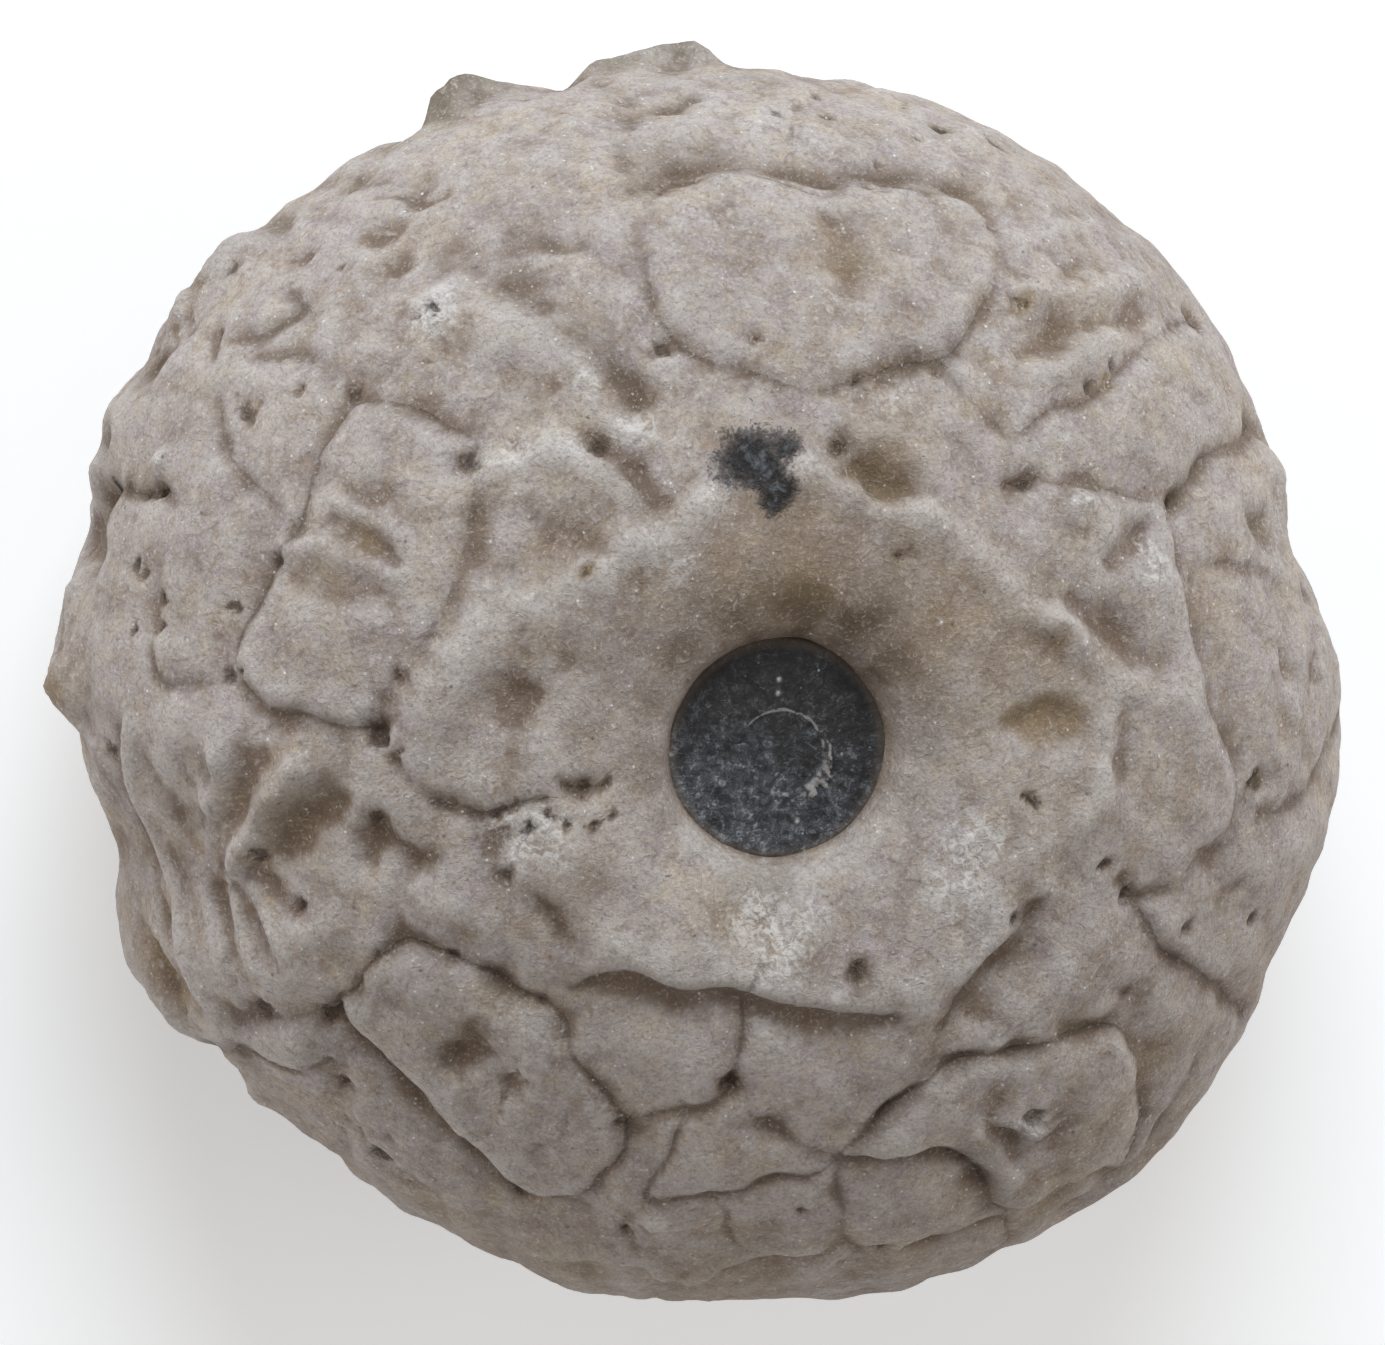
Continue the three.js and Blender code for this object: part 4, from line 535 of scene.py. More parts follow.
def body_radius(directions):
    """Distance from the body's centre to its plain surface along unit directions."""
    azimuth = np.degrees(np.arctan2(directions[..., 1], directions[..., 0]))
    across = np.hypot(directions[..., 0], directions[..., 1]) / rim_radius(azimuth)
    height = np.where(directions[..., 2] > 0, CUP_HEIGHT, TEGMEN_HEIGHT)
    along = np.abs(directions[..., 2]) / height
    return (across ** ROUNDNESS + along ** ROUNDNESS) ** (-1 / ROUNDNESS)


def on_body(azimuth, colatitude):
    """The point of the plain body this way from its centre."""
    way = direction(azimuth, colatitude)
    return way * body_radius(way)


def surface_curve(at, closed=False):
    """A smooth run of points on the body through the ones given."""
    through = [on_body(*place) for place in at]
    if closed:
        ring = [through[-1]] + through + through[:2]
    else:
        ring = [2 * through[0] - through[1]] + through + [2 * through[-1] - through[-2]]
    run = []
    for i in range(len(ring) - 3):
        p0, p1, p2, p3 = ring[i:i + 4]
        steps = max(2, math.ceil(np.linalg.norm(p2 - p1) / SEAM_STEP))
        for t in np.arange(steps) / steps:
            run.append(0.5 * (2 * p1 + (p2 - p0) * t + (2 * p0 - 5 * p1 + 4 * p2 - p3) * t ** 2
                              + (3 * p1 - p0 - 3 * p2 + p3) * t ** 3))
    run.append(ring[-2])
    return np.array(run)


def nearest_on(run, points, reach):
    """Of the points within reach of a run: their numbers, distances to it, places along it from
    0 to 1, and sides, +1 for the left-hand side seen from outside."""
    low = run.min(axis=0) - reach
    high = run.max(axis=0) + reach
    picked = np.flatnonzero(((points > low) & (points < high)).all(axis=1))
    p = points[picked]
    distance = np.full(len(p), np.inf)
    along = np.zeros(len(p))
    side = np.ones(len(p))
    for i in range(len(run) - 1):
        step = run[i + 1] - run[i]
        away = p - run[i]
        t = np.clip(away @ step / max(step @ step, 1e-12), 0, 1)
        away = away - t[:, None] * step
        far = np.linalg.norm(away, axis=1)
        closer = far < distance
        left = (np.cross(step, away) * p).sum(axis=1) > 0
        distance = np.where(closer, far, distance)
        along = np.where(closer, (i + t) / (len(run) - 1), along)
        side = np.where(closer, np.where(left, 1, -1), side)
    near = distance < reach
    return picked[near], distance[near], along[near], side[near]


def fine_noise(points, scale, octaves, offset):
    """Fractal noise, about -1 to 1, at points in millimetres with waves of the scale given."""
    shift = Vector((offset, 0.7 * offset, 1.3 * offset))
    values = [noise.fractal(Vector(p) / scale + shift, 1.0, 2.0, octaves) for p in points]
    return np.array(values)


def wrinkles(points, scale, offset):
    """Winding lines, 0 between them and 1 on them, with the spacing given in millimetres."""
    shift = Vector((offset, 1.7 * offset, 0.4 * offset))
    folds = []
    for p in points:
        q = Vector(p) / scale + shift
        q += 0.8 * noise.noise_vector(q * 0.35)
        folds.append(1 - 2 * abs(noise.noise(q)))
    return np.array(folds)


class Surface:
    """The fossil's surface: plain points on the body, and all that is added to them."""

    def __init__(self, directions):
        self.directions = directions
        self.plain = directions * body_radius(directions)[:, None]
        self.colatitude = np.degrees(np.arccos(np.clip(directions[:, 2], -1, 1)))
        self.warped = self.warp(self.plain)
        self.count = len(directions)
        self.masks = {}

    def shake(self, scale):
        """Random pushes, up to about 1 mm each way, in waves of the scale given."""
        pushes = [fine_noise(self.plain, scale, 2, offset) for offset in (12.4, 23.8, 35.2)]
        return np.stack(pushes, axis=1)

    def warp(self, p):
        """Points pushed a little sideways in waves, so that marks set out plainly look natural."""
        x, y, z = p.T
        return np.stack([
            x + WARP * np.sin(1.7 * y + 2.3 * z),
            y + WARP * np.sin(1.9 * z + 2.1 * x),
            z + WARP * np.sin(2.2 * x + 1.5 * y),
        ], axis=1)

    def seams(self):
        """The grooves and steps between plates, with the masks of their lines and valleys."""
        groove = np.zeros(self.count)
        kept = 1 - self.amount(FADED)
        valley = np.zeros(self.count)
        line = np.zeros(self.count)
        away = np.full(self.count, 1.0)
        step = np.zeros(self.count)
        for seam in SEAMS:
            run = surface_curve(seam["at"], seam.get("closed", False))
            width = seam["width"]
            picked, far, along, side = nearest_on(run, self.warped, width * REACH)
            sharp = seam.get("line", 1)
            fade = (0.85 + 0.6 * self.broken[picked]) * kept[picked]
            profile = LINE_SHARE * sharp * bell(far, LINE_WIDTH) + GROOVE_SHARE * bell(far, width)
            profile += VALLEY_SHARE * bell(far, width * VALLEY_WIDTHS)
            groove[picked] = np.maximum(groove[picked], fade * seam["depth"] * profile)
            strength = np.clip(fade * seam["depth"] / FULL_DEPTH, 0, 1.2)
            valley[picked] = np.maximum(valley[picked], strength * bell(far, width * 1.3))
            line[picked] = np.maximum(line[picked], strength * sharp * bell(far, 0.35))
            closer = far < np.abs(away[picked])
            away[picked[closer]] = (side * far)[closer]
            if "step" in seam:
                taper = 1
                if not seam.get("closed"):
                    taper = np.minimum(1, np.minimum(along, 1 - along) * STEP_TAPER)
                rise = np.tanh(far / width) * bell(far, width * 4)
                step[picked] += 0.5 * seam["step"] * taper * side * rise
        self.masks["valley"] = valley
        self.masks["line"] = line
        self.masks["from_line"] = away
        return step - groove

    def ridges(self):
        """The crests, with the mask of how pale they're worn."""
        relief = np.zeros(self.count)
        pale = np.zeros(self.count)
        for ridge in RIDGES:
            run = surface_curve(ridge["at"], ridge.get("closed", False))
            picked, far, _, _ = nearest_on(run, self.warped, ridge["width"] * 3)
            kept = np.clip(0.85 + 0.5 * self.broken[picked], 0.3, 1.3)
            relief[picked] += kept * ridge["height"] * bell(far, ridge["width"])
            kept = np.clip(0.8 + 1.1 * self.crumbled[picked], 0.1, 1.4)
            crest = kept * ridge.get("pale", 0.15) * bell(far, ridge["width"] * 0.8)
            pale[picked] = np.maximum(pale[picked], crest)
        self.masks["crest"] = pale
        return relief

    def pits(self):
        """The round pits, with the mask of the distance from the nearest in its own radii."""
        relief = np.zeros(self.count)
        nearest = np.full(self.count, 3.0)
        for rows, paler in ((PITS, WIDE_PIT_PALER), (FINE_PITS, 0)):
            for azimuth, colatitude, radius, depth in rows:
                away = self.ragged - on_body(azimuth, colatitude)
                far = np.linalg.norm(away, axis=1) / radius
                relief -= PIT_SHARE * depth * np.exp(-(far ** PIT_POWER))
                shallow = 2 * max(0, DARK_PIT - depth)
                nearest = np.minimum(nearest, far + (shallow + paler))
        self.masks["from_pit"] = nearest
        return relief

    def spots(self, rows, sign):
        """Soft marks between two points each, raised where the sign is 1 and sunk where it's -1."""
        relief = np.zeros(self.count)
        for a1, c1, a2, c2, radius, height in rows:
            run = np.array([on_body(a1, c1), on_body(a2, c2)])
            picked, far, along, _ = nearest_on(run, self.soft, radius * 3.4)
            middle = 4 * along * (1 - along)
            shape = (0.75 + 0.25 * middle) * bell(far, radius * (0.85 + 0.3 * middle))
            relief[picked] += sign * height * shape
        return relief

    def amount(self, rows):
        """The strongest of many soft round patches at each point."""
        strongest = np.zeros(self.count)
        for azimuth, colatitude, radius, strength in rows:
            far = np.linalg.norm(self.soft - on_body(azimuth, colatitude), axis=1)
            strongest = np.maximum(strongest, strength * bell(far, radius))
        return strongest

    def tegmen(self):
        """The seams between the small plates of the far side."""
        middles = [on_body(0, 180)]
        for ring in range(1, TEGMEN_RINGS + 1):
            count = ring * PLATE_STEP
            for i in range(count):
                azimuth = 360 * (i + 0.5 * (ring % 2)) / count + 4 * math.sin(3 * i + ring)
                middles.append(on_body(azimuth, 180 - ring * RING_SPACING + 2 * math.cos(5 * i)))
        share = np.clip((self.colatitude - TEGMEN_EDGE) / TEGMEN_BLEND, 0, 1)
        share = share * share * (3 - 2 * share)
        far = np.stack([np.linalg.norm(self.warped - m, axis=1) for m in middles])
        far.sort(axis=0)
        from_seam = (far[1] - far[0]) / 2
        self.masks["valley"] = np.maximum(self.masks["valley"], share * bell(from_seam, 0.3))
        groove = 0.4 * bell(from_seam, TEGMEN_LINE_WIDTH) + 0.6 * bell(from_seam, TEGMEN_SEAM_WIDTH)
        return -share * TEGMEN_SEAM * groove

    def arms(self):
        """The pairs of arm openings at the rim, each with a raised lip."""
        relief = np.zeros(self.count)
        for ray in range(RAYS):
            for side in (-1, 1):
                azimuth = FIRST_RAY + 360 * ray / RAYS + side * ARM_SPREAD
                far = np.linalg.norm(self.warped - on_body(azimuth, ARM_COLATITUDE), axis=1)
                mask = np.exp(-((far / ARM_RADIUS) ** 4))
                relief += ARM_LIP * bell(far, ARM_RADIUS * LIP_REACH) - (ARM_DEPTH + ARM_LIP) * mask
                self.masks["from_pit"] = np.minimum(self.masks["from_pit"], far / ARM_RADIUS)
        return relief

    def lumps(self):
        """Low lumps all over, the same as in the solids."""
        x, y, z = self.plain.T
        first = np.sin(2.1 * x + 1.3 * y + 0.4) * np.sin(1.7 * y - 1.1 * z + 1.9)
        second = np.sin(1.9 * z + 0.8 * x + 4.1) * np.sin(2.3 * x - 1.2 * y + 0.7)
        return LUMP_HEIGHT * (first + second) / 2

    def folds(self):
        """Soft winding folds between the listed marks, stronger down the sides."""
        share = 0.6 + 0.5 * beyond(self.colatitude, FOLD_EDGE, FOLD_BLEND)
        broad = BROAD_FOLD * (wrinkles(self.plain, 3.2, 2.3) - 0.4)
        close = CLOSE_FOLD * (wrinkles(self.plain, 1.1, 7.7) - 0.4)
        return share * (broad + close + FOLD_GRAIN * fine_noise(self.plain, 1.0, 3, 8.4))

    def funnel(self):
        """The wide dish round the stem's end, and the throat in its middle."""
        across = np.hypot(self.plain[:, 0], self.plain[:, 1])
        dish = DISH_DEPTH * bell(across, DISH_REACH)
        throat = THROAT_DEPTH * np.exp(-((across / THROAT_REACH) ** THROAT_POWER))
        return -np.where(self.directions[:, 2] > 0, dish + throat, 0)

    def build(self):
        """Positions of the finished surface, in millimetres from the body's centre."""
        self.broken = fine_noise(self.plain, 1.6, 2, 3.1)
        self.crumbled = fine_noise(self.plain, 0.9, 3, 6.6)
        self.ragged = self.warped + 0.16 * self.shake(0.45)
        self.soft = self.warped + 0.3 * self.shake(1.3)
        relief = self.seams() + self.ridges() + self.pits() + self.spots(HOLLOWS, -1)
        relief += self.spots(BUMPS, 1) + self.tegmen() + self.arms() + self.lumps() + self.funnel()
        relief += self.folds() + WRINKLE_HEIGHT * wrinkles(self.plain, 0.42, 5.2)
        for name, rows in STAINS.items():
            self.masks[name] = self.amount(rows)
        points = self.directions * (np.linalg.norm(self.plain, axis=1) + relief)[:, None]
        across = np.hypot(points[:, 0], points[:, 1])
        inside = (points[:, 2] > 0) & (across < SOCKET_RADIUS)
        shelf = np.clip((SOCKET_RADIUS - across) / SOCKET_WALL, 0, 1)
        points[:, 2] -= np.where(inside, shelf * SOCKET_DEPTH, 0)
        points[:, 2] = np.maximum(points[:, 2], -REST_DROP)
        return points


# The calyx's mesh: a cube whose faces are split into this many squares each way, rounded. Above
# the edge, in degrees, it has this many times as many faces to an area as below it.
CUBE_CUTS = 64
VISIBLE_SHARE = 2.4
SPREAD_EDGE = 101
SPREAD_BLEND = 4
SECTION_POINTS = 2001

# Rounds of smoothing that give a point's near and its far surroundings.
NEAR_ROUNDS = 8
FAR_ROUNDS = 70


def even_spread(directions):
    """Moves directions along their meridians so that the body's mesh is even, and finer above."""
    sphere = np.arccos(np.clip(directions[:, 2], -1, 1))
    colatitude = np.linspace(0, math.pi, SECTION_POINTS)
    ring = np.stack([np.sin(colatitude), 0 * colatitude, np.cos(colatitude)], axis=1)
    section = ring * body_radius(ring)[:, None]
    length = np.linalg.norm(np.diff(section, axis=0), axis=1)
    width = (section[1:, 0] + section[:-1, 0]) / 2
    middle = np.degrees((colatitude[1:] + colatitude[:-1]) / 2)
    weight = VISIBLE_SHARE + (1 - VISIBLE_SHARE) * beyond(middle, SPREAD_EDGE, SPREAD_BLEND)
    area = np.concatenate([[0], np.cumsum(length * width * weight)])
    wanted = (1 - np.cos(sphere)) / 2
    spread = np.interp(wanted, area / area[-1], colatitude)
    around = np.arctan2(directions[:, 1], directions[:, 0])
    return np.stack([
        np.sin(spread) * np.cos(around),
        np.sin(spread) * np.sin(around),
        np.cos(spread),
    ], axis=1)


def get_points(mesh):
    values = np.empty(len(mesh.vertices) * 3)
    mesh.vertices.foreach_get("co", values)
    return values.reshape(-1, 3)


def set_points(mesh, points):
    mesh.vertices.foreach_set("co", points.astype(np.float32).ravel())
    mesh.update()


def start_piece(name, add, **settings):
    """Adds a primitive with nothing else selected, and names it."""
    bpy.ops.object.select_all(action="DESELECT")
    add(**settings)
    piece = bpy.context.object
    piece.name = name
    piece.data.name = name
    return piece


def store(mesh, name, values):
    layer = mesh.attributes.new(name, "FLOAT", "POINT")
    layer.data.foreach_set("value", np.asarray(values, dtype=np.float32))


def smoothed(points, edges, rounds):
    """Points after each has moved to the middle of its neighbours this many times."""
    count = len(points)
    ends = np.concatenate([edges, edges[:, ::-1]])
    share = np.bincount(ends[:, 0], minlength=count)
    for _ in range(rounds):
        total = [np.bincount(ends[:, 0], points[ends[:, 1], k], count) for k in range(3)]
        points = 0.5 * points + 0.5 * np.stack(total, axis=1) / share[:, None]
    return points


def store_hollowness(mesh):
    """How far each point lies below its surroundings, near and far, in millimetres."""
    points = get_points(mesh) / MM
    normals = np.empty(len(mesh.vertices) * 3)
    mesh.vertices.foreach_get("normal", normals)
    normals = normals.reshape(-1, 3)
    edges = np.empty(len(mesh.edges) * 2, dtype=np.int32)
    mesh.edges.foreach_get("vertices", edges)
    edges = edges.reshape(-1, 2)
    near = smoothed(points, edges, NEAR_ROUNDS)
    far = smoothed(near, edges, FAR_ROUNDS)
    store(mesh, "near_hollow", ((near - points) * normals).sum(axis=1))
    store(mesh, "far_hollow", ((far - near) * normals).sum(axis=1))


def make_calyx():
    piece = start_piece("calyx_plates", bpy.ops.mesh.primitive_cube_add, size=2)
    bpy.ops.object.mode_set(mode="EDIT")
    bpy.ops.mesh.select_all(action="SELECT")
    bpy.ops.mesh.subdivide(number_cuts=CUBE_CUTS - 1)
    bpy.ops.mesh.subdivide(number_cuts=1)
    bpy.ops.object.mode_set(mode="OBJECT")
    mesh = piece.data
    cube = np.tan(get_points(mesh) * math.pi / 4)
    directions = even_spread(cube / np.linalg.norm(cube, axis=1)[:, None])
    surface = Surface(directions)
    set_points(mesh, (surface.build() + CENTRE) * MM)
    for name, values in surface.masks.items():
        store(mesh, name, values)
    store_hollowness(mesh)
    bpy.ops.object.shade_smooth()
    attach(piece, "root")
    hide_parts("calyx")
    return piece


# The stem disc's top: its middle mark, where the canal was, is set off a little to one side. A
# chipped flake stands beside the mark, and arcs follow it: azimuth and spread in degrees. The arcs
# are painted highlights on the mark's edge, and the flake's pale rim is partly a painted highlight.
LUMEN_PLACE = (0.15, -0.1)
LUMEN_RADIUS = 1.25
LUMEN_DEPTH = 0.07
LUMEN_BLEND = 0.02
FLAKE = (-36, 40)
FLAKE_HEIGHT = 0.1
FLAKE_BLEND = 0.015
UPPER_ARC = (72, 80)
LOWER_ARC = (-90, 30)
ARC_WIDTH = 0.045

# The disc's rounded edge, how far its relief fades before it, its rust and specks, and its mesh.
DISC_EDGE = 0.12
EDGE_IN = 0.04
EDGE_DOWN = 0.05
DISC_FADE = 0.3
DISC_LOWERED = 0.02
RUSTED_EDGE = 0.4
SPECK_RADIUS = 0.055
DISC_SPECKS = [(0.06, 2.08), (0.03, 1.66), (-3.2, -0.05), (0.62, -2.2)]
DISC_STEP = 0.07
DISC_TURNS = 300
MERGE_DISTANCE = 1e-4


def disc_relief(x, y):
    """Height of the disc's top above its plain level, in millimetres, and the look of its marks, with a
    painted sheen and painted highlights.
    """
    points = np.stack([x, y, 0 * x], axis=1)
    across = np.hypot(x - LUMEN_PLACE[0], y - LUMEN_PLACE[1])
    around = np.degrees(np.arctan2(y - LUMEN_PLACE[1], x - LUMEN_PLACE[0]))
    ragged = fine_noise(points, 0.5, 3, 4.4)
    chipped = fine_noise(points, 0.28, 3, 9.1)
    crumbled = fine_noise(points, 0.2, 3, 2.7)
    broken, above, below = (
        bell(turned(around, azimuth), spread) for azimuth, spread in (FLAKE, UPPER_ARC, LOWER_ARC))

    outer = LUMEN_RADIUS + 0.05 + 0.03 * ragged + broken * (0.30 + 0.32 * chipped)
    inside = 1 - beyond(across, LUMEN_RADIUS, LUMEN_BLEND)
    flake = beyond(across, LUMEN_RADIUS, FLAKE_BLEND) - beyond(across, outer, FLAKE_BLEND)
    height = FLAKE_HEIGHT * flake * broken - LUMEN_DEPTH * inside
    height += 0.06 * fine_noise(points, 0.9, 3, 1.2) + 0.03 * chipped

    # The arcs are painted highlights; with the flake's pale face and rim they make the edge mask,
    # partly pale stone and partly painted highlight.
    arc = bell(across - LUMEN_RADIUS - 0.04 * ragged, ARC_WIDTH) * (0.95 * above + 0.5 * below)
    rim = bell(across - outer, 0.05) * np.clip(1.6 * broken, 0, 1)
    face = flake * np.clip(broken + 0.3 * below, 0, 1)
    edge = np.maximum(np.maximum(0.5 * face, arc), 1.2 * rim)
    from_edge = STEM_RADIUS - np.hypot(x, y)
    marks = {
        "edge": edge * np.clip(0.85 + 0.6 * ragged + 1.1 * crumbled, 0.1, 1.3),
        # A painted sheen: the disc is painted greyer and lighter towards negative x and y.
        "painted_sheen": np.clip(0.5 - 0.10 * x - 0.24 * y + 0.3 * ragged, 0, 1.3),
        "rust": 0.8 * np.clip(1 - from_edge / RUSTED_EDGE, 0, 1),
        "speck": sum(bell(np.hypot(x - sx, y - sy), SPECK_RADIUS) for sx, sy in DISC_SPECKS),
    }
    return height, marks


def make_stem_disc():
    top = STEM_TOP
    low = top - STEM_THICKNESS
    radii = np.arange(0, STEM_RADIUS - DISC_EDGE + 1e-6, DISC_STEP)
    profile = [(r, top) for r in radii]
    profile += [(STEM_RADIUS - EDGE_IN, top - EDGE_DOWN), (STEM_RADIUS, top - DISC_EDGE)]
    profile += [(STEM_RADIUS, (top + low) / 2), (STEM_RADIUS, low), (STEM_RADIUS / 2, low), (0, low)]
    edges = [(i, i + 1) for i in range(len(profile) - 1)]
    piece = start_piece("stem_disc", bpy.ops.mesh.primitive_plane_add, size=1)
    mesh = piece.data
    mesh.clear_geometry()
    mesh.from_pydata([(r, 0, z) for r, z in profile], edges, [])
    bpy.ops.object.mode_set(mode="EDIT")
    bpy.ops.mesh.select_all(action="SELECT")
    bpy.ops.mesh.spin(steps=DISC_TURNS, angle=2 * math.pi, center=(0, 0, 0), axis=(0, 0, 1))
    bpy.ops.mesh.select_all(action="SELECT")
    bpy.ops.mesh.remove_doubles(threshold=MERGE_DISTANCE)
    bpy.ops.mesh.normals_make_consistent(inside=False)
    bpy.ops.object.mode_set(mode="OBJECT")
    points = get_points(mesh)
    height, marks = disc_relief(points[:, 0], points[:, 1])
    share = np.clip((points[:, 2] - low) / STEM_THICKNESS, 0, 1) ** 2
    fade = np.clip((STEM_RADIUS - np.hypot(points[:, 0], points[:, 1])) / DISC_FADE, 0, 1)
    points[:, 2] += height * share * fade - DISC_LOWERED * share
    set_points(mesh, (points + CENTRE) * MM)
    for name, values in marks.items():
        store(mesh, name, values)
    bpy.ops.object.shade_smooth()
    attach(piece, "root")
    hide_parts("stem_stub")
    return piece


class Shade:
    """A socket of a material's tree: arithmetic on it adds Math nodes."""

    def __init__(self, tree, socket=None):
        self.tree = tree
        self.socket = socket

    def node(self, kind, settings=None, inputs=None, output=0):
        node = self.tree.nodes.new(kind)
        for name, value in (settings or {}).items():
            setattr(node, name, value)
        for name, value in (inputs or {}).items():
            if isinstance(value, Shade):
                self.tree.links.new(value.socket, node.inputs[name])
            else:
                node.inputs[name].default_value = value
        return Shade(self.tree, node.outputs[output])

    def math(self, operation, *values):
        return self.node("ShaderNodeMath", {"operation": operation}, dict(enumerate(values)))

    def __add__(self, other):
        return self.math("ADD", self, other)

    def __radd__(self, other):
        return self.math("ADD", other, self)

    def __sub__(self, other):
        return self.math("SUBTRACT", self, other)

    def __rsub__(self, other):
        return self.math("SUBTRACT", other, self)

    def __mul__(self, other):
        return self.math("MULTIPLY", self, other)

    def __rmul__(self, other):
        return self.math("MULTIPLY", other, self)

    def size(self):
        return self.math("ABSOLUTE", self)

    def between(self, low, high):
        """0 below low, 1 above high, and smooth between them."""
        settings = {"interpolation_type": "SMOOTHSTEP"}
        return self.node("ShaderNodeMapRange", settings, {0: self, 1: low, 2: high})

    def attribute(self, name):
        return self.node("ShaderNodeAttribute", {"attribute_name": name}, output=2)

    def place(self):
        """Object coordinates in millimetres."""
        coordinates = self.node("ShaderNodeTexCoord", output=3)
        inputs = {0: coordinates, 3: 1 / MM}
        return self.node("ShaderNodeVectorMath", {"operation": "SCALE"}, inputs)

    def noise(self, place, spacing, detail=3, roughness=0.5, distortion=0.0):
        """Noise from 0 to 1 with waves of the spacing given in millimetres."""
        inputs = {"Vector": place, "Scale": 1 / spacing, "Detail": detail,
                  "Roughness": roughness, "Distortion": distortion}
        return self.node("ShaderNodeTexNoise", {}, inputs)

    def cells(self, place, spacing):
        """Distance to the middle of the nearest of many scattered cells."""
        return self.node("ShaderNodeTexVoronoi", {}, {"Vector": place, "Scale": 1 / spacing})

    def mix(self, amount, first, second, blend="MIX"):
        """The first colour where amount is 0, and the second where it is 1."""
        settings = {"data_type": "RGBA", "blend_type": blend, "clamp_factor": True}
        return self.node("ShaderNodeMix", settings, {0: amount, 6: first, 7: second}, output=2)

    def bump(self, height, strength, distance, normal=None):
        inputs = {"Height": height, "Strength": strength, "Distance": distance}
        if normal:
            inputs["Normal"] = normal
        return self.node("ShaderNodeBump", {}, inputs)


def new_material(name):
    material = bpy.data.materials.new(name)
    material.use_nodes = True
    return material, Shade(material.node_tree), material.node_tree.nodes["Principled BSDF"]


def feed(shade, shader, name, value):
    shade.tree.links.new(value.socket, shader.inputs[name])


# The stone's colours, linear, from its ground to the marks that lie on it, with painted shade and
# highlight among them.
STONE = (0.357, 0.303, 0.273, 1)
PALER_STONE = (0.390, 0.334, 0.308, 1)
# Pale dust and painted highlight.
DUSTED_AND_LIT = (0.55, 0.497, 0.463, 1)
PALE_MOTTLE = (0.50, 0.449, 0.418, 1)
DARK_MOTTLE = (0.244, 0.181, 0.137, 1)
WORN_CREST = (0.60, 0.545, 0.495, 1)
# The next four: dirt and painted shade in hollows, and a painted highlight on rises.
DEEP_HOLLOW_DIRT_AND_SHADE = (0.186, 0.123, 0.081, 1)
BROAD_CREST_HIGHLIGHT = (0.52, 0.475, 0.447, 1)
SMALL_HOLLOW_DIRT_AND_SHADE = (0.160, 0.105, 0.070, 1)
SMALL_CREST_HIGHLIGHT = (0.60, 0.552, 0.526, 1)
# Brown stain and painted shade; nearly black where the brown list is strongest, a painted shadow.
BROWN_STAIN_AND_SHADE = (0.140, 0.091, 0.054, 1)
BLACKISH_STAIN_AND_SHADE = (0.035, 0.026, 0.019, 1)
OCHRE = (0.30, 0.215, 0.125, 1)
OLIVE = (0.17, 0.14, 0.087, 1)
DARK_FELT = (0.177, 0.126, 0.092, 1)
PALE_FELT = (0.68, 0.63, 0.603, 1)
PALE_CRUST = (0.82, 0.79, 0.76, 1)
# Painted shade for the seams' valleys and the pits; the seams' lines are dark joints.
SEAM_VALLEY_SHADE = (0.134, 0.096, 0.065, 1)
SEAM_LINE = (0.075, 0.053, 0.037, 1)
PIT_SHADE = (0.065, 0.046, 0.032, 1)
DARK_GRAIN = (0.139, 0.101, 0.076, 1)
PALE_GRAIN = (0.82, 0.777, 0.757, 1)
CRUST_BLACK = (0.009, 0.009, 0.0095, 1)
CRUST_GREY = (0.12, 0.13, 0.145, 1)
SPECK = (0.92, 0.91, 0.89, 1)
FLECK = (0.06, 0.045, 0.035, 1)

# What the stone's colour is multiplied by where it's tinted: warmer or cooler, fine and broad.
FINE_WARM = (1.07, 1.0, 0.83, 1)
FINE_COOL = (0.98, 0.97, 1.03, 1)
BROAD_WARM = (1.06, 0.99, 0.85, 1)
BROAD_COOL = (0.99, 0.97, 1.03, 1)


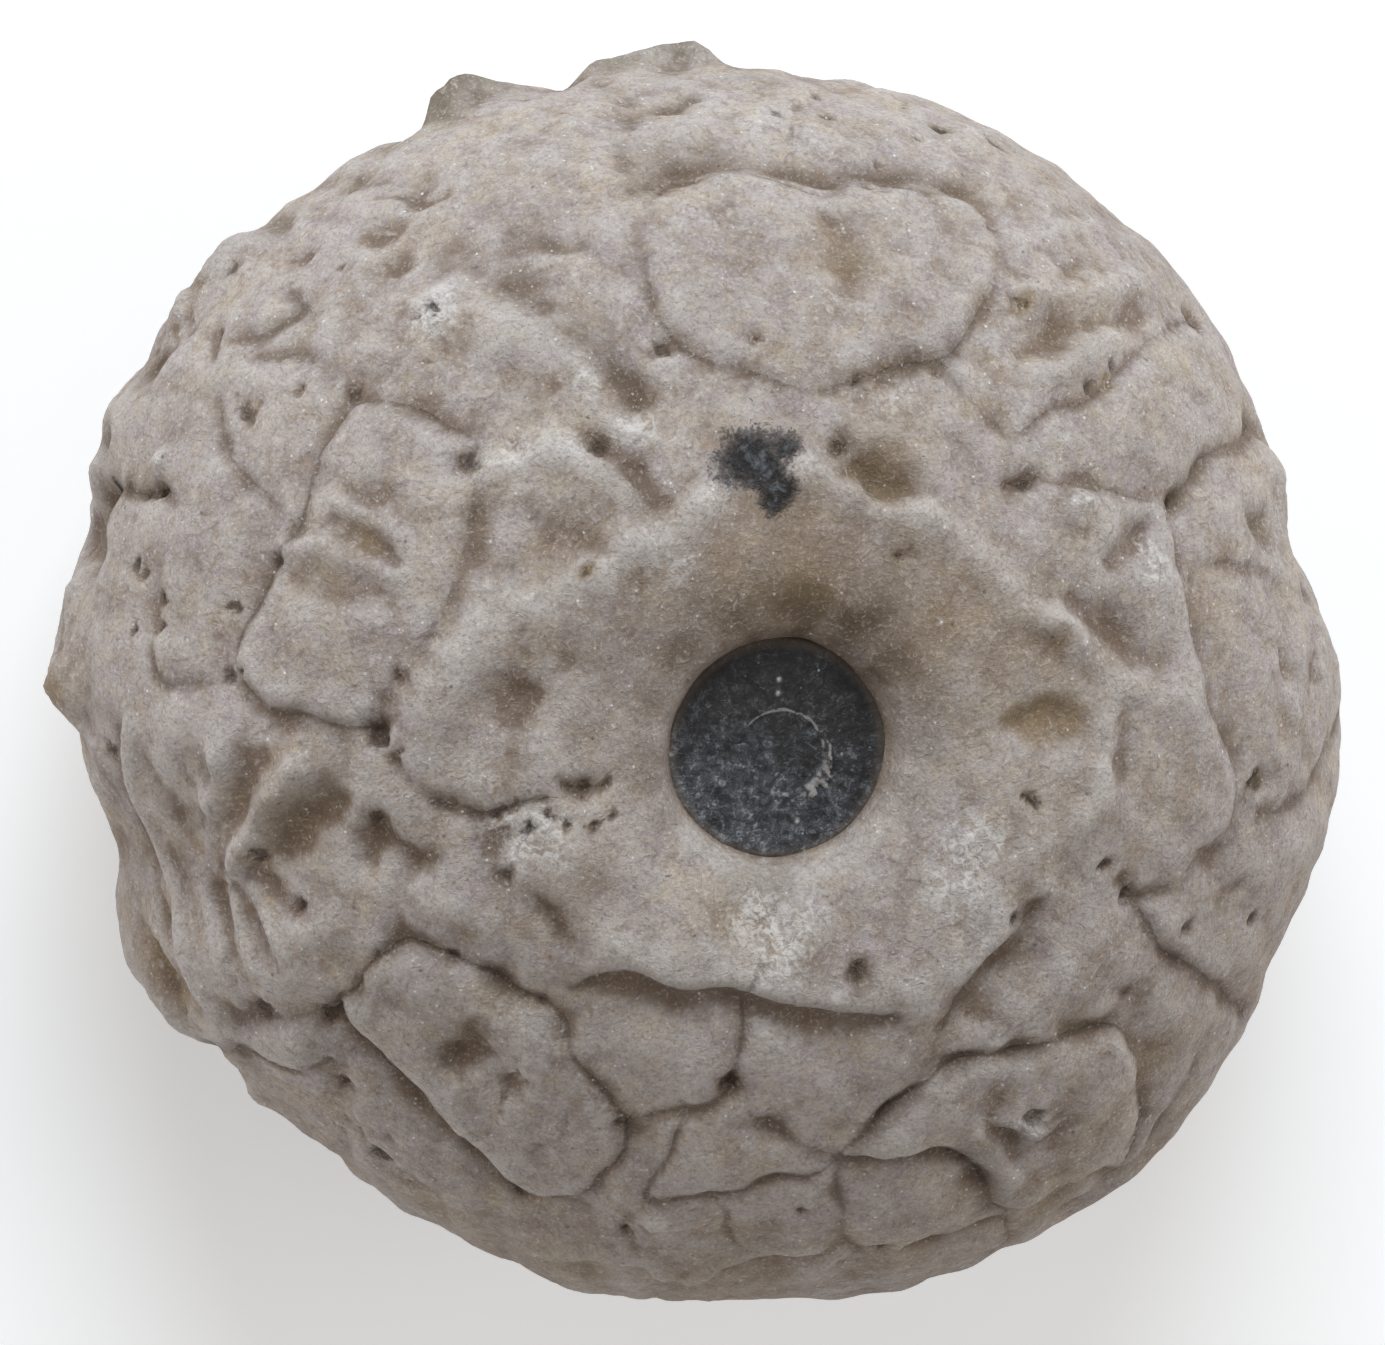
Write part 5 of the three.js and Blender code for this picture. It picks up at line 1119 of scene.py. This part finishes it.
def plates_material():
    material, shade, shader = new_material("calcite_plates")
    place = shade.place()
    line = shade.attribute("from_line").size().between(0.11, 0.02) * shade.attribute("line")
    valley = shade.attribute("valley")
    near = shade.attribute("near_hollow")
    far = shade.attribute("far_hollow")
    patches = shade.noise(place, 5.0, 3, 0.55)
    mottles = shade.noise(place, 1.3, 5, 0.62, 0.4)
    felt = shade.noise(place, 0.30, 5, 0.7, 0.9)
    grain = shade.noise(place, 0.11, 3, 0.7)
    threads = shade.noise(place, 0.32, 5, 0.65, 0.9)
    tint = shade.noise(place, 0.6, 5, 0.7, 0.6)
    broad_tint = shade.noise(place, 2.2, 3, 0.6, 0.4)
    lumps = shade.noise(place, 0.42, 4, 0.6, 0.5)
    pit = (shade.attribute("from_pit") + (felt - 0.5) * 1.2).between(1.1, 0.35)

    # The ground, with its dust and painted highlight, mottles and tints.
    colour = shade.mix(patches.between(0.35, 0.65), STONE, PALER_STONE)
    colour = shade.mix(shade.attribute("dust_and_highlight") * (0.5 + mottles), colour, DUSTED_AND_LIT)
    colour = shade.mix(mottles.between(0.42, 0.68) * 0.55, colour, PALE_MOTTLE)
    colour = shade.mix(mottles.between(0.52, 0.28) * 0.6, colour, DARK_MOTTLE)
    colour = shade.mix(tint.between(0.47, 0.64) * 0.6, colour, FINE_WARM, "MULTIPLY")
    colour = shade.mix(tint.between(0.50, 0.34) * 0.7, colour, FINE_COOL, "MULTIPLY")
    colour = shade.mix(broad_tint.between(0.46, 0.66) * 0.6, colour, BROAD_WARM, "MULTIPLY")
    colour = shade.mix(broad_tint.between(0.50, 0.34) * 0.6, colour, BROAD_COOL, "MULTIPLY")

    # Worn crests are paler. Hollows, near and far, are painted darker with dirt and painted shade, and
    # rises are painted paler as a painted highlight.
    colour = shade.mix(shade.attribute("crest") * (0.5 + mottles), colour, WORN_CREST)
    colour = shade.mix(far.between(0.0, 0.17) * 0.7, colour, DEEP_HOLLOW_DIRT_AND_SHADE)
    colour = shade.mix(far.between(0.0, -0.2) * 0.35, colour, BROAD_CREST_HIGHLIGHT)
    near = near + (felt - 0.5) * 0.03
    colour = shade.mix(near.between(0.0, 0.045) * 0.6, colour, SMALL_HOLLOW_DIRT_AND_SHADE)
    colour = shade.mix(near.between(0.0, -0.04) * 0.35, colour, SMALL_CREST_HIGHLIGHT)

    # Stains, with painted shade among them: the brown list also darkens the throat's wall above the
    # stem disc, nearly black where it's strongest, the north valley and the low south rim.
    brown_and_shade = shade.attribute("brown_and_shade") * (0.4 + 1.2 * mottles)
    colour = shade.mix(brown_and_shade, colour, BROWN_STAIN_AND_SHADE)
    colour = shade.mix(brown_and_shade.between(0.55, 1.15) * 0.85, colour, BLACKISH_STAIN_AND_SHADE)
    colour = shade.mix(shade.attribute("ochre") * (0.5 + mottles), colour, OCHRE)
    colour = shade.mix(shade.attribute("olive") * (0.4 + mottles), colour, OLIVE)

    # The fine texture, the pale crust, the seams and the pits. The seams' valleys, the pits and the arm
    # openings are painted darker as shade; the seams' sharp lines are dark joints.
    colour = shade.mix(felt.between(0.5, 0.28) * 0.5, colour, DARK_FELT)
    colour = shade.mix(felt.between(0.53, 0.74) * 0.5, colour, PALE_FELT)
    crust = (shade.attribute("crust") + mottles * 0.5).between(0.45, 1.0)
    colour = shade.mix(crust * threads.between(0.42, 0.60) * 0.6, colour, PALE_CRUST)
    colour = shade.mix(valley.between(0.1, 1.1) * 0.5, colour, SEAM_VALLEY_SHADE)
    colour = shade.mix(line * (0.2 + mottles), colour, SEAM_LINE)
    colour = shade.mix(pit * 0.62, colour, PIT_SHADE)
    colour = shade.mix(grain.between(0.52, 0.27) * 0.4, colour, DARK_GRAIN)
    colour = shade.mix(grain.between(0.54, 0.76) * 0.4, colour, PALE_GRAIN)

    # The black crust, with a ragged outline, and scattered specks and flecks.
    grey = shade.mix(lumps.between(0.44, 0.66), CRUST_BLACK, CRUST_GREY)
    ragged = (mottles - 0.5) * 0.8 + (felt - 0.5) * 0.8 + (grain - 0.5) * 0.9
    crusted = (shade.attribute("black") + ragged).between(0.25, 0.8)
    colour = shade.mix(crusted * 0.95, colour, grey)
    specks = shade.cells(place, 0.40).between(0.15, 0.06) * felt.between(0.42, 0.62)
    colour = shade.mix(specks * 0.7, colour, SPECK)
    flecks = shade.cells(place, 0.75).between(0.11, 0.05) * mottles.between(0.55, 0.4)
    colour = shade.mix(flecks * 0.6, colour, FLECK)
    feed(shade, shader, "Base Color", colour)

    feed(shade, shader, "Roughness", 0.62 + 0.25 * mottles + 0.1 * grain)
    shader.inputs["Specular IOR Level"].default_value = 0.35

    relief = shade.bump(1 - line - 0.6 * pit, 0.6, 0.13 * MM)
    relief = shade.bump(threads, 0.25, 0.08 * MM, relief)
    relief = shade.bump(crusted * lumps, 0.8, 0.45 * MM, relief)
    relief = shade.bump(felt, 0.8, 0.15 * MM, relief)
    relief = shade.bump(grain, 0.7, 0.05 * MM, relief)
    feed(shade, shader, "Normal", relief)
    return material


# The stem disc's colours, linear, with a painted sheen and painted highlights among them.
DISC_BLACK = (0.020, 0.0175, 0.0165, 1)
# The painted sheen's grey.
DISC_SHEEN_GREY = (0.068, 0.072, 0.080, 1)
DISC_PATCH = (0.010, 0.009, 0.0095, 1)
DISC_LIGHT = (0.31, 0.32, 0.345, 1)
DISC_GRAIN = (0.009, 0.008, 0.008, 1)
# Pale chipped stone and painted highlight.
BARE_EDGE_AND_HIGHLIGHT = (0.40, 0.37, 0.35, 1)
RUST = (0.17, 0.13, 0.10, 1)
DISC_SPARKLE = (0.6, 0.58, 0.56, 1)
DISC_SPECK = (0.75, 0.72, 0.68, 1)


def disc_material():
    material, shade, shader = new_material("dark_stem_disc")
    place = shade.place()
    grain = shade.noise(place, 0.11, 4, 0.72)
    mottles = shade.noise(place, 0.8, 4, 0.62, 0.3)
    patches = shade.noise(place, 0.5, 5, 0.68, 0.6)
    flecks = shade.noise(place, 0.16, 4, 0.75, 0.8)
    # The painted sheen: greyer and lighter on one side, where the light flecks also show more.
    painted_sheen = shade.attribute("painted_sheen") + (mottles - 0.5) * 1.1
    colour = shade.mix(painted_sheen.between(0.15, 1.0), DISC_BLACK, DISC_SHEEN_GREY)
    colour = shade.mix(patches.between(0.58, 0.38) * 0.9, colour, DISC_PATCH)
    light = flecks.between(0.47, 0.68) * (0.2 + 0.65 * painted_sheen) * (0.3 + patches.between(0.42, 0.62))
    colour = shade.mix(light, colour, DISC_LIGHT)
    colour = shade.mix(grain.between(0.5, 0.3) * 0.5, colour, DISC_GRAIN)
    # Pale chipped stone and painted highlights on the mark's edges.
    edge = (shade.attribute("edge") + (grain - 0.5) * 0.3).between(0.2, 0.7)
    colour = shade.mix(edge * 0.85, colour, BARE_EDGE_AND_HIGHLIGHT)
    colour = shade.mix(shade.attribute("rust") * (0.4 + mottles), colour, RUST)
    specks = shade.cells(place, 0.40).between(0.13, 0.06) * mottles.between(0.45, 0.6)
    colour = shade.mix(specks * 0.6, colour, DISC_SPARKLE)
    colour = shade.mix(shade.attribute("speck"), colour, DISC_SPECK)
    feed(shade, shader, "Base Color", colour)
    feed(shade, shader, "Roughness", 0.5 + 0.3 * grain)
    relief = shade.bump(flecks, 0.7, 0.12 * MM)
    feed(shade, shader, "Normal", shade.bump(grain, 0.7, 0.05 * MM, relief))
    return material


# The pale ground under the fossil: a wide plane that glows a little, so that it stays near white.
FLOOR_SIZE = 4
FLOOR_GREY = (0.9, 0.9, 0.9, 1)
FLOOR_GLOW = 0.25


def floor_material():
    material, _, shader = new_material("pale_floor")
    shader.inputs["Base Color"].default_value = FLOOR_GREY
    shader.inputs["Roughness"].default_value = 0.9
    shader.inputs["Emission Color"].default_value = (1, 1, 1, 1)
    shader.inputs["Emission Strength"].default_value = FLOOR_GLOW
    return material


def make_floor():
    floor = start_piece("floor", bpy.ops.mesh.primitive_plane_add, size=FLOOR_SIZE)
    floor.data.materials.append(floor_material())


# The camera looks down on the stem end, leaning a little towards the northwest.
CAMERA_TILT = 15
CAMERA_AZIMUTH = 137
CAMERA_DISTANCE = 260
VIEW_WIDTH = 43.07  # what the frame takes in across, at the widest level
CLIP_START = 0.01
CLIP_END = 10


def make_camera():
    data = bpy.data.cameras.new("camera")
    camera = bpy.data.objects.new("camera", data)
    bpy.context.collection.objects.link(camera)
    back = direction(CAMERA_AZIMUTH, CAMERA_TILT)
    right = np.cross([0, 1, 0], back)
    right /= np.linalg.norm(right)
    up = np.cross(back, right)
    place = CENTRE + CAMERA_DISTANCE * back
    camera.matrix_world = Matrix.LocRotScale(
        Vector(place * MM), Matrix(np.stack([right, up, back], axis=1)), None)
    data.lens = data.sensor_width * CAMERA_DISTANCE / VIEW_WIDTH
    data.clip_start = CLIP_START
    data.clip_end = CLIP_END
    bpy.context.scene.camera = camera


# The lights stand this far from the body's centre, in metres: a window and two pale walls.
LIGHT_DISTANCE = 0.5
LIGHT_SIZE = 0.3
DAYLIGHT = (0.87, 0.94, 1)
WALL_LIGHT = (1, 0.97, 0.92)
ROOM_STRENGTH = 0.34


def make_light(name, azimuth, colatitude, power, colour):
    """A round area light that faces the body's centre."""
    data = bpy.data.lights.new(name, "AREA")
    data.shape = "DISK"
    data.size = LIGHT_SIZE
    data.energy = power
    data.color = colour
    light = bpy.data.objects.new(name, data)
    bpy.context.collection.objects.link(light)
    way = Vector(direction(azimuth, colatitude))
    light.location = Vector(CENTRE * MM) + way * LIGHT_DISTANCE
    light.rotation_euler = way.to_track_quat("Z", "Y").to_euler()


def make_lights():
    make_light("window", azimuth=93, colatitude=58, power=2.2, colour=DAYLIGHT)
    make_light("left_wall", azimuth=185, colatitude=70, power=0.5, colour=WALL_LIGHT)
    make_light("right_wall", azimuth=358, colatitude=70, power=0.68, colour=WALL_LIGHT)
    world = bpy.data.worlds.new("soft_room")
    world.use_nodes = True
    background = world.node_tree.nodes["Background"]
    background.inputs["Color"].default_value = (1, 1, 1, 1)
    background.inputs["Strength"].default_value = ROOM_STRENGTH
    bpy.context.scene.world = world
    bpy.context.scene.view_settings.view_transform = "Standard"


make_floor()
make_camera()
make_lights()
make_calyx().data.materials.append(plates_material())
make_stem_disc().data.materials.append(disc_material())

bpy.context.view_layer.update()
